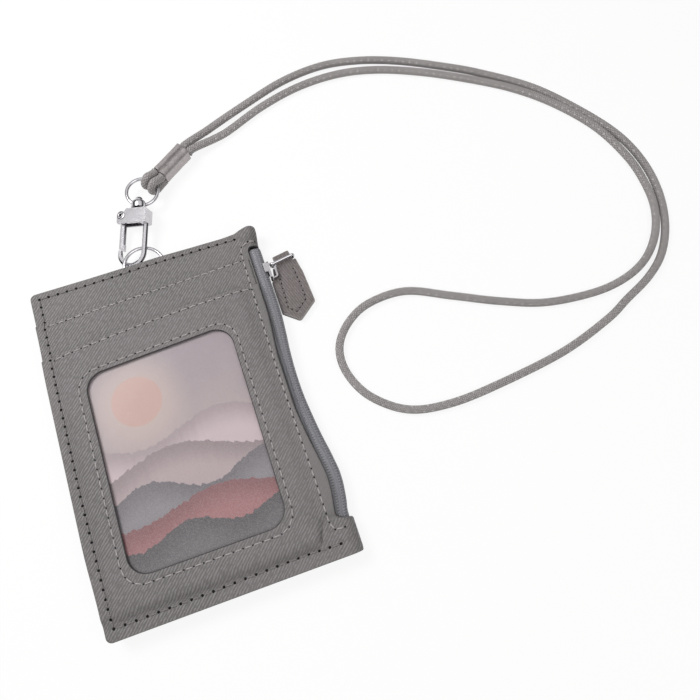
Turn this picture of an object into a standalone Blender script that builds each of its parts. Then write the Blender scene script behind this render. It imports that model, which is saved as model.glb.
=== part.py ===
"""Leather card holder with a zipped pocket, a swivel snap hook and a doubled cord lanyard.

The holder lies on its back on z = 0, in metres. +X is its zip side, +Y is the side that the
card slots open to, where the snap hook hangs, and +Z is its front.
"""

import math

import bmesh
import bpy
from mathutils import Matrix, Vector

MM = 0.001

# Leather body
BODY_WIDTH_LEFT = 39.0 * MM
BODY_HEIGHT = 112.1 * MM
BODY_TOP = BODY_HEIGHT / 2
CORNER_RADIUS = 3.0 * MM
LEATHER = 0.90 * MM
SHEET_GAP = 0.15 * MM
SEAM_LIFT = 4.30 * MM
NOSE_RIGHT = 38.1 * MM
NOSE_STEPS = 10

FRONT_INSIDE = SEAM_LIFT + LEATHER + SHEET_GAP
BODY_DEPTH = FRONT_INSIDE + LEATHER
NOSE_RADIUS = BODY_DEPTH / 2
NOSE_X = NOSE_RIGHT - NOSE_RADIUS
MIDDLE_Z = BODY_DEPTH / 2

# Rise of the back towards the seams: where each slope starts and ends
TOP_RISE = (BODY_TOP - 23.05 * MM, BODY_TOP - 7.05 * MM)
LEFT_RISE = (12.0 * MM - BODY_WIDTH_LEFT, 2.0 * MM - BODY_WIDTH_LEFT)
BOTTOM_RISE = (16.05 * MM - BODY_TOP, 4.05 * MM - BODY_TOP)
RISE_FADE = (NOSE_RIGHT - 20.1 * MM, NOSE_RIGHT - 9.1 * MM)

# Zip slot cut in the body
SLOT_EDGE_X = NOSE_RIGHT - 4.4 * MM
SLOT_LOW_Y = 12.05 * MM - BODY_TOP
SLOT_HIGH_Y = BODY_TOP - 6.25 * MM
SLOT_CORNER = 1.8 * MM
SLOT_FLOOR_Z = 1.0 * MM

# Front panels
SLOT_PANEL_THICK = 0.65 * MM
SLOT_PANEL_RIGHT = NOSE_RIGHT - 4.7 * MM
SLOT_PANEL_LOW_Y = 14.05 * MM - BODY_TOP
SLOT_PANEL_TOP_LEFT = BODY_TOP - 11.95 * MM
SLOT_PANEL_TOP_RIGHT = BODY_TOP - 10.45 * MM
PANEL_THICK = 0.75 * MM
PANEL_TOP_LEFT = BODY_TOP - 24.45 * MM
PANEL_TOP_RIGHT = BODY_TOP - 20.65 * MM
PANEL_EDGE_X = NOSE_RIGHT - 4.6 * MM
PANEL_WRAP = math.radians(100)
WINDOW_LEFT = 12.0 * MM - BODY_WIDTH_LEFT
WINDOW_RIGHT = NOSE_RIGHT - 17.45 * MM
WINDOW_LOW = 14.85 * MM - BODY_TOP
WINDOW_TOP_LEFT = BODY_TOP - 34.15 * MM
WINDOW_TOP_RIGHT = BODY_TOP - 31.7 * MM
WINDOW_CORNER = 6.0 * MM
LEFT_PRESS = (6.5 * MM - BODY_WIDTH_LEFT, 3.5 * MM - BODY_WIDTH_LEFT)
RIGHT_PRESS = (NOSE_RIGHT - 11.6 * MM, NOSE_RIGHT - 7.6 * MM)
BOTTOM_PRESS = (7.55 * MM - BODY_TOP, 4.55 * MM - BODY_TOP)
CORNER_PRESS = (13.85 * MM - BODY_TOP, 12.15 * MM - BODY_TOP)
FILM_THICK = 0.15 * MM
FILM_MARGIN = 2.6 * MM
CARD_THICK = 0.25 * MM
CARD_REACH_X = 4.175 * MM
CARD_REACH_Y = 7.45 * MM
CARD_CORNER = 1.5 * MM

SLOT_PANEL_Z = BODY_DEPTH + SHEET_GAP
SLOT_PANEL_TOP_Z = SLOT_PANEL_Z + SLOT_PANEL_THICK
CARD_Z = SLOT_PANEL_TOP_Z + SHEET_GAP
FILM_Z = CARD_Z + CARD_THICK + SHEET_GAP
PANEL_Z = FILM_Z + FILM_THICK + SHEET_GAP
PANEL_SIDE_Z = CARD_Z
PANEL_SEAM_Z = SLOT_PANEL_Z

# Linings of the pocket
LINING = 0.20 * MM
LINING_LEFT = 8.0 * MM - BODY_WIDTH_LEFT
LINING_RIGHT = NOSE_RIGHT - 9.0 * MM
LINING_LOW = 11.25 * MM - BODY_TOP
LINING_HIGH = BODY_TOP - 15.05 * MM

# Zip
TAPE = 0.40 * MM
TAPE_GAP = 0.20 * MM
TAPE_LEFT = NOSE_RIGHT - 8.6 * MM
TAPE_BEND_X = NOSE_RIGHT - 1.3 * MM
TAPE_RADIUS = 1.60 * MM
TAPE_LOW_Y = SLOT_LOW_Y + 0.4 * MM
TAPE_HIGH_Y = SLOT_HIGH_Y - 0.5 * MM
SLIT = 1.00 * MM
TEETH_X = TAPE_BEND_X - 0.05 * MM
TEETH_WIDE = 0.80 * MM
TEETH_CORE = 0.35 * MM
TOOTH_LONG = 0.35 * MM
TOOTH_WIDE = 0.70 * MM
TOOTH_PITCH = 1.40 * MM
TEETH_LOW_Y = SLOT_LOW_Y + 3.0 * MM
TEETH_HIGH_Y = SLOT_HIGH_Y - 6.6 * MM
STOP_LONG = 1.50 * MM
STOP_GAP = 0.30 * MM

TAPE_FRONT_Z = FRONT_INSIDE - TAPE_GAP
TEETH_EDGE_Z = MIDDLE_Z + SLIT / 2

# Slider, bridge and puller
SLIDER_LOW_Y = SLOT_HIGH_Y - 12.7 * MM
SLIDER_LONG = 6.00 * MM
SLIDER_WIDE = 5.30 * MM
SLIDER_TAIL_WIDE = 4.30 * MM
SLIDER_PLATE = 0.80 * MM
SLIDER_CLEAR = 0.30 * MM
FLANGE_REACH = 1.20 * MM
FLANGE_THICK = 0.55 * MM
INNER_PLATE_X = TAPE_BEND_X - 1.2 * MM
INNER_PLATE_WIDE = 2.40 * MM
POST_THICK = 0.60 * MM
POST_LONG = 1.30 * MM
BAIL_GAP = 1.40 * MM
BAIL_THICK = 0.70 * MM
BAIL_WIDE = 1.20 * MM
BAIL_FOOT = 0.60 * MM
BAIL_SEAT = 0.10 * MM
BAIL_INSET = 0.05 * MM
PULL_WIRE = 0.45 * MM
PULL_LONG = 8.45 * MM
PULL_TALL = 2.50 * MM
PULL_CORNER = 0.70 * MM
PULL_ANGLE = math.radians(5)
PULL_CLEAR = 0.20 * MM
TAB_THICK = 2.00 * MM
TAB_Z = 0.20 * MM
TAB_ROLL = 1.35 * MM
TAB_EYE = 0.70 * MM
TAB_NECK = (1.75 * MM, 7.70 * MM)
TAB_SHOULDER = 0.60 * MM
TAB_HIP = 1.00 * MM
TAB_FOOT = 0.80 * MM
TAB_TIP = 1.50 * MM

SLIDER_X = TAPE_BEND_X + TAPE_RADIUS + SLIDER_CLEAR
SLIDER_FACE_X = SLIDER_X + SLIDER_PLATE
SLIDER_HIGH_Y = SLIDER_LOW_Y + SLIDER_LONG
PULL_PIVOT = Vector((
    SLIDER_FACE_X + BAIL_GAP / 2,
    SLIDER_HIGH_Y - BAIL_INSET - BAIL_FOOT - PULL_CLEAR - PULL_WIRE,
    MIDDLE_Z,
))

# Corners of the puller's leather from its pivot, each with its radius
TAB_OUTLINE = (
    (0.4 * MM, -1.45 * MM, TAB_SHOULDER), (-0.3 * MM, -4.9 * MM, TAB_HIP),
    (-1.05 * MM, -17.5 * MM, TAB_FOOT), (3.6 * MM, -21.9 * MM, TAB_TIP),
    (10.1 * MM, -16.9 * MM, TAB_FOOT), (9.1 * MM, -4.9 * MM, TAB_HIP),
    (8.7 * MM, -1.45 * MM, TAB_SHOULDER),
)

# Lower ring and its tab on the back
RING_RADIUS = 6.50 * MM
RING_WIRE = 0.60 * MM
RING_CENTRE = Vector((-0.9 * MM, BODY_TOP + 0.25 * MM, 2.446 * MM))
RING_TILT_X = -0.130
RING_TILT_Y = 0.0148
RING_TAB_WIDE = 5.00 * MM
RING_TAB_THICK = 0.60 * MM
RING_TAB_END_Y = BODY_TOP - 14.55 * MM
RING_TAB_TUNNEL = 1.355 * MM
RING_TAB_DROP = 0.105 * MM
RING_TAB_FRONT = 1.55 * MM

# Snap hook: X across, Y along, Z out of its face, from the centre of its round nose
HOOK_ORIGIN = Vector((-3.70 * MM, BODY_TOP + 6.05 * MM, 2.60 * MM))
HOOK_HEADING = math.radians(-19)
HOOK_PITCH = math.radians(5.5)
HOOK_ROLL = math.radians(-15)
HOOK_RADIUS = 4.60 * MM
HOOK_WIRE = 0.90 * MM
HOOK_TIP = 1.00 * MM
HOUSING_LOW = 10.2 * MM
HOUSING_HIGH = 15.6 * MM
HOUSING_LEFT = -5.5 * MM
HOUSING_RIGHT = 5.6 * MM
HOUSING_THICK = 4.20 * MM
HOUSING_WALL = 0.75 * MM
HOUSING_FLANK = 2.40 * MM
HOUSING_ROOF = 1.40 * MM
HOUSING_SHOULDER = -2.2 * MM
HOUSING_EDGE = 0.35 * MM
EAR_GAP = 0.20 * MM
BOSS_RADIUS = 1.55 * MM
PIN_POINT = (-4.0 * MM, 13.2 * MM)
PIN_RADIUS = 0.50 * MM
PIN_CLEAR = 0.20 * MM
GATE_RADIUS = 1.10 * MM
GATE_END = 1.50 * MM
GATE_TONGUE = 0.30 * MM
GATE_TONGUE_LOW = 0.65 * MM
GATE_NECK = 0.95 * MM
TANG_HALF = 0.75 * MM
KNUCKLE_RADIUS = 1.30 * MM
KNUCKLE_Z = (-1.10 * MM, 0.35 * MM)
SPRING_WIRE = 0.14 * MM
SPRING_RADIUS = 0.95 * MM
SPRING_SWEEP = math.radians(661)
SPRING_GATE_LEG = 1.40 * MM
SPRING_ROOF_LEG = 2.90 * MM
SPRING_Z = (0.62 * MM, 1.08 * MM)

# Swivel eye
SWIVEL_ACROSS = 1.30 * MM
SWIVEL_TURN = math.radians(-38)
SWIVEL_POST = 0.70 * MM
SWIVEL_POST_CLEAR = 0.25 * MM
SWIVEL_HEAD = 1.10 * MM
SWIVEL_HEAD_THICK = 0.60 * MM
SWIVEL_SEAT = 0.25 * MM
COLLAR_RADIUS = 2.00 * MM
COLLAR_THICK = 0.60 * MM
EYE_HALF = 3.35 * MM
EYE_TOP_HALF = 0.95 * MM
EYE_THICK = 1.40 * MM
EYE_BAR = 0.60 * MM
EYE_SIDE = 1.20 * MM
EYE_TALL = 4.10 * MM
EYE_HOLE_HALF = 2.45 * MM
EYE_HOLE_TALL = 1.95 * MM

# Upper ring
UPPER_RADIUS = 5.35 * MM
UPPER_WIRE = 0.60 * MM
UPPER_CLEAR = 0.25 * MM
UPPER_HEADING = math.radians(-26)
UPPER_PITCH = math.radians(-3)
UPPER_ROLL = math.radians(2)

# Cord, its two loops and the crimp
CORD_RADIUS = 1.40 * MM
CORD_STEP = 8.0 * MM
LOOP_STEP = 1.4 * MM
LOOP_LEAD = 1.5 * MM
CORD_GAP = 0.40 * MM
LOOP_RADIUS = 2.30 * MM
CRIMP_HEADING = math.radians(34)
CRIMP_START = Vector((13.3 * MM, BODY_TOP + 31.65 * MM, 3.55 * MM))
CRIMP_LONG = 12.5 * MM
CRIMP_WIDE = 6.60 * MM
CRIMP_TALL = 6.10 * MM
CRIMP_LOBE = 1.70 * MM
CRIMP_WAIST = 0.25 * MM
FACE_GAP = 0.30 * MM
CORD_REST_Z = 1.45 * MM
CORD_EXIT_Z = 3.10 * MM

# The cord's way over the table, from one side of the crimp's end back to the other, in mm from
# the middle of the body's top edge
CORD_ROUTE_MM = (
    (34.6, 46.25), (50.2, 52.35), (66.7, 57.95), (82.6, 60.05), (97.0, 58.15), (111.0, 53.55),
    (126.0, 46.35), (140.2, 38.25), (157.3, 25.75), (170.4, 10.75), (179.6, -3.45), (183.6, -16.65),
    (183.6, -30.05), (179.9, -42.65), (173.2, -52.85), (164.6, -59.45), (153.8, -64.45),
    (143.7, -69.05), (124.3, -74.65), (99.5, -77.85), (81.5, -78.65), (67.6, -75.95),
    (57.2, -67.65), (52.6, -57.55), (53.3, -48.55), (59.0, -41.45), (68.0, -37.15), (81.4, -37.05),
    (96.0, -43.75), (110.9, -50.85), (126.0, -56.45), (144.0, -58.55), (157.0, -57.05),
    (167.0, -52.65), (174.6, -45.05), (179.2, -35.55), (180.4, -25.05), (179.0, -13.05),
    (173.2, 1.95), (162.6, 16.15), (150.0, 27.55), (134.8, 37.15), (119.0, 45.45), (103.0, 51.75),
    (88.0, 54.55), (72.0, 53.75), (56.0, 49.55), (40.0, 42.85),
)


def smooth(value, span):
    """Goes from 0 at the span's start to 1 at its end with level ends."""
    share = (value - span[0]) / (span[1] - span[0])
    share = min(max(share, 0.0), 1.0)
    return share * share * (3.0 - 2.0 * share)


def back_rise(x, y):
    """Height of the back's underside over the table."""
    flat = (1 - smooth(y, TOP_RISE)) * (1 - smooth(x, LEFT_RISE)) * (1 - smooth(y, BOTTOM_RISE))
    return SEAM_LIFT * (1 - flat) * (1 - smooth(x, RISE_FADE))


def over_back(x, y, depth):
    """Height of a layer that lies a depth, square to the slope, over the back's underside."""
    step = 0.5 * MM
    slope_x = (back_rise(x + step, y) - back_rise(x - step, y)) / (2 * step)
    slope_y = (back_rise(x, y + step) - back_rise(x, y - step)) / (2 * step)
    return back_rise(x, y) + depth * math.sqrt(1 + slope_x ** 2 + slope_y ** 2)


def spread(first, last, count):
    """Evenly spaced values from first to last, both included."""
    return [first + (last - first) * i / count for i in range(count + 1)]


def arc(centre_x, centre_y, radius, start, end, steps):
    """Points on an arc, with its angles in degrees."""
    angles = [math.radians(a) for a in spread(start, end, steps)]
    return [(centre_x + radius * math.cos(a), centre_y + radius * math.sin(a)) for a in angles]


def rounded(corners, steps=5):
    """Points of a closed outline whose corners are (x, y, radius)."""
    points = []
    count = len(corners)
    for i, (x, y, radius) in enumerate(corners):
        here = Vector((x, y))
        before = (Vector(corners[i - 1][:2]) - here).normalized()
        after = (Vector(corners[(i + 1) % count][:2]) - here).normalized()
        half = before.angle(after) / 2
        if radius <= 0:
            points.append((x, y))
            continue
        centre = here + (before + after).normalized() * (radius / math.sin(half))
        start = here + before * (radius / math.tan(half)) - centre
        end = here + after * (radius / math.tan(half)) - centre
        turn = start.angle_signed(end)
        for k in range(steps + 1):
            angle = -turn * k / steps
            spun = Matrix.Rotation(angle, 2) @ start
            points.append(tuple(centre + spun))
    return points


def strip_outline(line, thick):
    """Outline of a strip of even thickness along an open line of (x, y) points."""
    left = []
    right = []
    for i, point in enumerate(line):
        before = Vector(line[max(i - 1, 0)])
        after = Vector(line[min(i + 1, len(line) - 1)])
        along = (after - before).normalized()
        side = Vector((-along.y, along.x)) * (thick / 2)
        left.append(tuple(Vector(point) + side))
        right.append(tuple(Vector(point) - side))
    return left + right[::-1]


def smooth_way(points, step):
    """Points at an even step along a smooth curve through the given points."""
    padded = [points[0] * 2 - points[1]] + list(points) + [points[-1] * 2 - points[-2]]
    fine = []
    for i in range(1, len(padded) - 2):
        a, b, c, d = padded[i - 1:i + 3]
        for k in range(24):
            t = k / 24
            fine.append(0.5 * (
                2 * b + (c - a) * t + (2 * a - 5 * b + 4 * c - d) * t ** 2
                + (3 * b - 3 * c + d - a) * t ** 3
            ))
    fine.append(points[-1])
    lengths = [0.0]
    for here, there in zip(fine, fine[1:]):
        lengths.append(lengths[-1] + (there - here).length)
    count = max(2, round(lengths[-1] / step))
    result = []
    index = 0
    for want in spread(0.0, lengths[-1], count):
        while index < len(fine) - 2 and lengths[index + 1] < want:
            index += 1
        share = (want - lengths[index]) / (lengths[index + 1] - lengths[index])
        result.append(fine[index].lerp(fine[index + 1], share))
    return result


def frame(origin, heading=0.0, pitch=0.0, roll=0.0):
    """Matrix of a piece's own frame: turned about Z, then tipped about X, then rolled about Y."""
    turn = Matrix.Rotation(heading, 4, "Z")
    tip = Matrix.Rotation(pitch, 4, "X")
    lean = Matrix.Rotation(roll, 4, "Y")
    return Matrix.Translation(origin) @ turn @ tip @ lean


def make_material(name, colour, roughness, metallic=0.0, alpha=1.0):
    """A Principled material with plain values."""
    material = bpy.data.materials.new(name)
    material.use_nodes = True
    shader = material.node_tree.nodes["Principled BSDF"]
    shader.inputs["Base Color"].default_value = (*colour, 1.0)
    shader.inputs["Roughness"].default_value = roughness
    shader.inputs["Metallic"].default_value = metallic
    shader.inputs["Alpha"].default_value = alpha
    material.diffuse_color = (*colour, alpha)
    return material


class Builder:
    """Keeps the collections and materials, and makes named objects in them."""

    def __init__(self):
        self.parts = bpy.data.collections.new("card_holder")
        self.cutters = bpy.data.collections.new("cutters")
        bpy.context.scene.collection.children.link(self.parts)
        bpy.context.scene.collection.children.link(self.cutters)
        self.materials = {
            "leather": make_material("leather", (0.24, 0.22, 0.21), 0.62),
            "film": make_material("film", (0.85, 0.88, 0.90), 0.10, alpha=0.35),
            "card": make_material("card", (0.78, 0.62, 0.60), 0.70),
            "lining": make_material("lining", (0.10, 0.10, 0.11), 0.90),
            "tape": make_material("tape", (0.20, 0.21, 0.23), 0.85),
            "teeth": make_material("teeth", (0.12, 0.12, 0.13), 0.45),
            "nickel": make_material("nickel", (0.72, 0.71, 0.72), 0.18, 1.0),
            "steel": make_material("steel", (0.45, 0.45, 0.46), 0.35, 1.0),
            "cord": make_material("cord", (0.32, 0.30, 0.30), 0.80),
            "sleeve": make_material("sleeve", (0.38, 0.36, 0.36), 0.55),
        }

    def add(self, name, data, material=None):
        """Links a new object, as a part if it has a material and as a cutter if not."""
        thing = bpy.data.objects.new(name, data)
        if material is None:
            self.cutters.objects.link(thing)
            thing.hide_render = True
            thing.display_type = "WIRE"
        else:
            self.parts.objects.link(thing)
            thing.data.materials.append(self.materials[material])
        return thing

    def mesh(self, name, build, material=None, matrix=Matrix()):
        """A mesh object filled in by build(bm)."""
        data = bpy.data.meshes.new(name)
        bm = bmesh.new()
        build(bm)
        bm.transform(matrix)
        bm.to_mesh(data)
        bm.free()
        return self.add(name, data, material)

    def box(self, name, low, high, material=None, matrix=Matrix()):
        """A box between two corners."""
        size = [b - a for a, b in zip(low, high)]
        centre = [(a + b) / 2 for a, b in zip(low, high)]
        shape = Matrix.Translation(centre) @ Matrix.Diagonal((*size, 1.0))
        return self.mesh(
            name, lambda bm: bmesh.ops.create_cube(bm, size=1.0, matrix=shape), material, matrix
        )

    def rod(self, name, start, end, radius, material=None, matrix=Matrix(), segments=24):
        """A cylinder between two points."""
        start = Vector(start)
        way = Vector(end) - start
        place = Matrix.Translation(start + way / 2) @ way.to_track_quat("Z", "Y").to_matrix().to_4x4()
        return self.mesh(
            name,
            lambda bm: bmesh.ops.create_cone(
                bm, cap_ends=True, segments=segments, radius1=radius, radius2=radius,
                depth=way.length, matrix=place,
            ),
            material, matrix,
        )

    def plate(self, name, outlines, thick, material=None, matrix=Matrix()):
        """A flat outline, with any further outlines as holes, thick / 2 to each side of its plane."""
        data = bpy.data.curves.new(name, "CURVE")
        data.dimensions = "2D"
        data.fill_mode = "BOTH"
        data.extrude = thick / 2
        for outline in outlines:
            line = data.splines.new("POLY")
            line.points.add(len(outline) - 1)
            for point, (x, y) in zip(line.points, outline):
                point.co = (x, y, 0.0, 1.0)
            line.use_cyclic_u = True
        thing = self.add(name, data, material)
        thing.matrix_world = matrix
        return self.to_mesh(thing, material)

    def wire(self, name, points, radius, material=None, matrix=Matrix(), cyclic=False, ends=None):
        """A round wire along points; ends gives each point's share of the radius."""
        data = bpy.data.curves.new(name, "CURVE")
        data.dimensions = "3D"
        data.bevel_depth = radius
        data.bevel_resolution = 2
        data.use_fill_caps = not cyclic
        line = data.splines.new("POLY")
        line.points.add(len(points) - 1)
        for i, (point, place) in enumerate(zip(line.points, points)):
            point.co = (*place, 1.0)
            point.radius = ends[i] if ends else 1.0
        line.use_cyclic_u = cyclic
        thing = self.add(name, data, material)
        thing.matrix_world = matrix
        return self.to_mesh(thing, material)

    def to_mesh(self, curve, material):
        """Replaces a curve object by a mesh with its caps welded."""
        bpy.context.view_layer.update()
        graph = bpy.context.evaluated_depsgraph_get()
        data = bpy.data.meshes.new_from_object(curve.evaluated_get(graph))
        bm = bmesh.new()
        bm.from_mesh(data)
        bmesh.ops.remove_doubles(bm, verts=bm.verts, dist=0.001 * MM)
        bmesh.ops.recalc_face_normals(bm, faces=bm.faces)
        bm.to_mesh(data)
        bm.free()
        name = curve.name
        matrix = curve.matrix_world.copy()
        bpy.data.objects.remove(curve)
        data.materials.clear()
        thing = self.add(name, data, material)
        thing.matrix_world = matrix
        return thing

    def sheet(self, name, place, columns, rows, thick, material, outward=False):
        """A sheet of leather or cloth: place(column, row) gives its face, Solidify its thickness."""
        def build(bm):
            bmesh.ops.create_grid(
                bm, x_segments=len(columns) - 1, y_segments=len(rows) - 1, size=0.5
            )
            for vert in bm.verts:
                column = columns[round((vert.co.x + 0.5) * (len(columns) - 1))]
                row = rows[round((vert.co.y + 0.5) * (len(rows) - 1))]
                vert.co = place(column, row)

        thing = self.mesh(name, build, material)
        shell = thing.modifiers.new("thickness", "SOLIDIFY")
        shell.thickness = thick
        shell.offset = 1.0 if outward else -1.0
        return thing

    def boolean(self, thing, other, operation="DIFFERENCE"):
        """Cuts or joins with another object, which becomes a cutter."""
        step = thing.modifiers.new(other.name, "BOOLEAN")
        step.operation = operation
        step.object = other
        step.solver = "EXACT"

    def bevel(self, thing, width, segments=2, angle=40):
        """Rounds the sharp edges."""
        step = thing.modifiers.new("edges", "BEVEL")
        step.width = width
        step.segments = segments
        step.limit_method = "ANGLE"
        step.angle_limit = math.radians(angle)

    def move_origin(self, thing, point):
        """Puts the object's origin at a world point, leaving its shape where it is."""
        shift = thing.matrix_world.inverted() @ Vector(point)
        thing.data.transform(Matrix.Translation(-shift))
        thing.matrix_world = thing.matrix_world @ Matrix.Translation(shift)


def left_edge(y):
    """X of the holder's left edge, rounded at its two corners."""
    into = abs(y) - (BODY_TOP - CORNER_RADIUS)
    if into <= 0:
        return -BODY_WIDTH_LEFT
    return -BODY_WIDTH_LEFT + CORNER_RADIUS - math.sqrt(max(CORNER_RADIUS ** 2 - into ** 2, 0.0))


def from_left(x, y):
    """Draws a station's x in from the left edge where a corner is rounded."""
    inner = LEFT_RISE[0]
    if x >= inner:
        return x
    share = (inner - x) / (inner + BODY_WIDTH_LEFT)
    return inner + (left_edge(y) - inner) * share


def body_rows():
    """Stations along Y, close together where the back rises and at the corners."""
    corner = [BODY_TOP - CORNER_RADIUS * (1 - math.sin(math.radians(a))) for a in (0, 30, 60, 90)]
    low = [-y for y in corner[::-1]]
    rise_low = spread(BOTTOM_RISE[1], BOTTOM_RISE[0], 5)
    rise_high = spread(TOP_RISE[0], TOP_RISE[1], 6)
    middle = spread(BOTTOM_RISE[0], TOP_RISE[0], 3)[1:-1]
    return low + rise_low + middle + rise_high + corner


def back_columns():
    """Stations across the back, close together where it rises."""
    rise = [-BODY_WIDTH_LEFT] + spread(LEFT_RISE[1], LEFT_RISE[0], 5)
    middle = (LEFT_RISE[0] + RISE_FADE[0]) / 2
    return rise + [middle] + spread(RISE_FADE[0], RISE_FADE[1], 4)


def make_shell(build):
    """Front face, rounded zip side and back face as one folded sheet."""
    front = [("front", x) for x in (-BODY_WIDTH_LEFT, LEFT_RISE[0], 0.0, RISE_FADE[1])]
    nose = [("nose", a) for a in spread(0.0, math.pi, NOSE_STEPS)]
    back = [("back", x) for x in back_columns()[::-1]]

    def place(station, y):
        kind, value = station
        if kind == "front":
            return (from_left(value, y), y, BODY_DEPTH)
        if kind == "nose":
            x = NOSE_X + NOSE_RADIUS * math.sin(value)
            return (x, y, MIDDLE_Z + NOSE_RADIUS * math.cos(value))
        x = from_left(value, y)
        return (x, y, back_rise(value, y))

    shell = build.sheet("shell", place, front + nose + back, body_rows(), LEATHER, "leather")
    slot = rounded_slot(build, "zip_slot_cut", SLOT_EDGE_X, SLOT_HIGH_Y, SLOT_FLOOR_Z)
    build.boolean(shell, slot)
    return shell


def rounded_slot(build, name, edge_x, high_y, floor_z):
    """Cutter of the zip slot: open to the right, with rounded corners on the left."""
    far_x = NOSE_RIGHT + 6 * MM
    top_z = PANEL_Z + 3 * MM
    outline = rounded((
        (edge_x, SLOT_LOW_Y, SLOT_CORNER), (far_x, SLOT_LOW_Y, 0), (far_x, high_y, 0),
        (edge_x, high_y, SLOT_CORNER),
    ))
    middle = Matrix.Translation((0, 0, (floor_z + top_z) / 2))
    return build.plate(name, [outline], top_z - floor_z, matrix=middle)


def make_slot_panel(build):
    """Panel whose slanted upper edge is the mouth of the first card slot."""
    outline = (
        (-BODY_WIDTH_LEFT, SLOT_PANEL_LOW_Y), (SLOT_PANEL_RIGHT, SLOT_PANEL_LOW_Y),
        (SLOT_PANEL_RIGHT, SLOT_PANEL_TOP_RIGHT), (-BODY_WIDTH_LEFT, SLOT_PANEL_TOP_LEFT),
    )
    middle = Matrix.Translation((0, 0, SLOT_PANEL_Z + SLOT_PANEL_THICK / 2))
    return build.plate("slot_panel", [outline], SLOT_PANEL_THICK, "leather", middle)


def panel_level(x, y):
    """Height of the window panel's underside, pressed down along its seams."""
    sides = max(smooth(x, LEFT_PRESS), smooth(x, RIGHT_PRESS))
    level = PANEL_Z + (PANEL_SIDE_Z - PANEL_Z) * sides
    right = smooth(x, RIGHT_PRESS)
    start = BOTTOM_PRESS[0] + (CORNER_PRESS[0] - BOTTOM_PRESS[0]) * right
    end = BOTTOM_PRESS[1] + (CORNER_PRESS[1] - BOTTOM_PRESS[1]) * right
    return level + (PANEL_SEAM_Z - level) * smooth(y, (start, end))


def panel_top(x):
    """Y of the window panel's slanted upper edge."""
    share = (x + BODY_WIDTH_LEFT) / (PANEL_EDGE_X + BODY_WIDTH_LEFT)
    return PANEL_TOP_LEFT + (PANEL_TOP_RIGHT - PANEL_TOP_LEFT) * share


def window_outline(margin=0.0):
    """Outline of the window, grown by a margin."""
    radius = WINDOW_CORNER
    return rounded((
        (WINDOW_LEFT - margin, WINDOW_LOW - margin, radius),
        (WINDOW_RIGHT + margin, WINDOW_LOW - margin, radius),
        (WINDOW_RIGHT + margin, WINDOW_TOP_RIGHT + margin, radius),
        (WINDOW_LEFT - margin, WINDOW_TOP_LEFT + margin, radius),
    ), steps=8)


def make_window_panel(build):
    """Panel with the window, whose lower right end wraps round the zip side."""
    left = spread(LEFT_PRESS[0], LEFT_PRESS[1], 4)[::-1]
    right = spread(RIGHT_PRESS[0], RIGHT_PRESS[1], 4)
    flat = [("flat", x) for x in [-BODY_WIDTH_LEFT] + left + [0.0] + right]
    nose = [("nose", a) for a in spread(0.0, PANEL_WRAP, 8)]
    corner = [BODY_TOP - CORNER_RADIUS * (1 - math.sin(math.radians(a))) for a in (90, 60, 30, 0)]
    rows = [-y for y in corner] + spread(BOTTOM_PRESS[1], BOTTOM_PRESS[0], 4)
    rows += [(BOTTOM_PRESS[0] + CORNER_PRESS[1]) / 2]
    rows += spread(CORNER_PRESS[1], CORNER_PRESS[0], 4) + [PANEL_TOP_LEFT]
    radius = NOSE_RADIUS + SHEET_GAP

    def place(station, y):
        kind, value = station
        if kind == "flat":
            x = from_left(value, y) if y < 0 else value
            top = panel_top(x)
            return (x, top if y == PANEL_TOP_LEFT else y, panel_level(value, y))
        x = NOSE_X + radius * math.sin(value)
        top = PANEL_TOP_RIGHT if y == PANEL_TOP_LEFT else y
        level = panel_level(PANEL_EDGE_X, y) - PANEL_SEAM_Z
        return (x, top, MIDDLE_Z + radius * math.cos(value) + level)

    panel = build.sheet(
        "window_panel", place, flat + nose, rows, PANEL_THICK, "leather", outward=True
    )
    edge = rounded_slot(build, "panel_edge_cut", PANEL_EDGE_X, PANEL_TOP_RIGHT + 2 * WINDOW_CORNER, -PANEL_THICK)
    build.boolean(panel, edge)
    middle = Matrix.Translation((0, 0, PANEL_Z))
    window = build.plate("window_cut", [window_outline()], 8 * PANEL_THICK, matrix=middle)
    build.boolean(panel, window)
    return panel


def make_window_pieces(build):
    """Clear film behind the window and the printed card behind the film."""
    middle = Matrix.Translation((0, 0, FILM_Z + FILM_THICK / 2))
    build.plate("window_film", [window_outline(FILM_MARGIN)], FILM_THICK, "film", middle)
    half_x = (WINDOW_RIGHT - WINDOW_LEFT) / 2 + CARD_REACH_X
    half_y = (WINDOW_TOP_LEFT - WINDOW_LOW) / 2 + CARD_REACH_Y
    centre_x = (WINDOW_LEFT + WINDOW_RIGHT) / 2
    centre_y = (WINDOW_LOW + WINDOW_TOP_LEFT) / 2
    card = rounded((
        (-half_x, -half_y, CARD_CORNER), (half_x, -half_y, CARD_CORNER),
        (half_x, half_y, CARD_CORNER), (-half_x, half_y, CARD_CORNER),
    ))
    middle = Matrix.Translation((centre_x, centre_y, CARD_Z + CARD_THICK / 2))
    build.plate("insert_card", [card], CARD_THICK, "card", middle)


def make_linings(build):
    """Thin linings inside the zipped pocket."""
    low = (LINING_LEFT, LINING_LOW, FRONT_INSIDE - SHEET_GAP - LINING)
    high = (LINING_RIGHT, LINING_HIGH, FRONT_INSIDE - SHEET_GAP)
    build.box("lining_front", low, high, "lining")
    columns = [LINING_LEFT] + [x for x in back_columns() if LINING_LEFT < x < LINING_RIGHT]
    columns.append(LINING_RIGHT)
    rows = [LINING_LOW] + [y for y in body_rows() if LINING_LOW < y < LINING_HIGH] + [LINING_HIGH]

    def place(x, y):
        return (x, y, over_back(x, y, LEATHER + SHEET_GAP + LINING))

    build.sheet("lining_back", place, columns, rows, LINING, "lining")


def mirrored(points, z):
    """The same (x, z) points on the other side of a height."""
    return [(x, 2 * z - height) for x, height in points]


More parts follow.
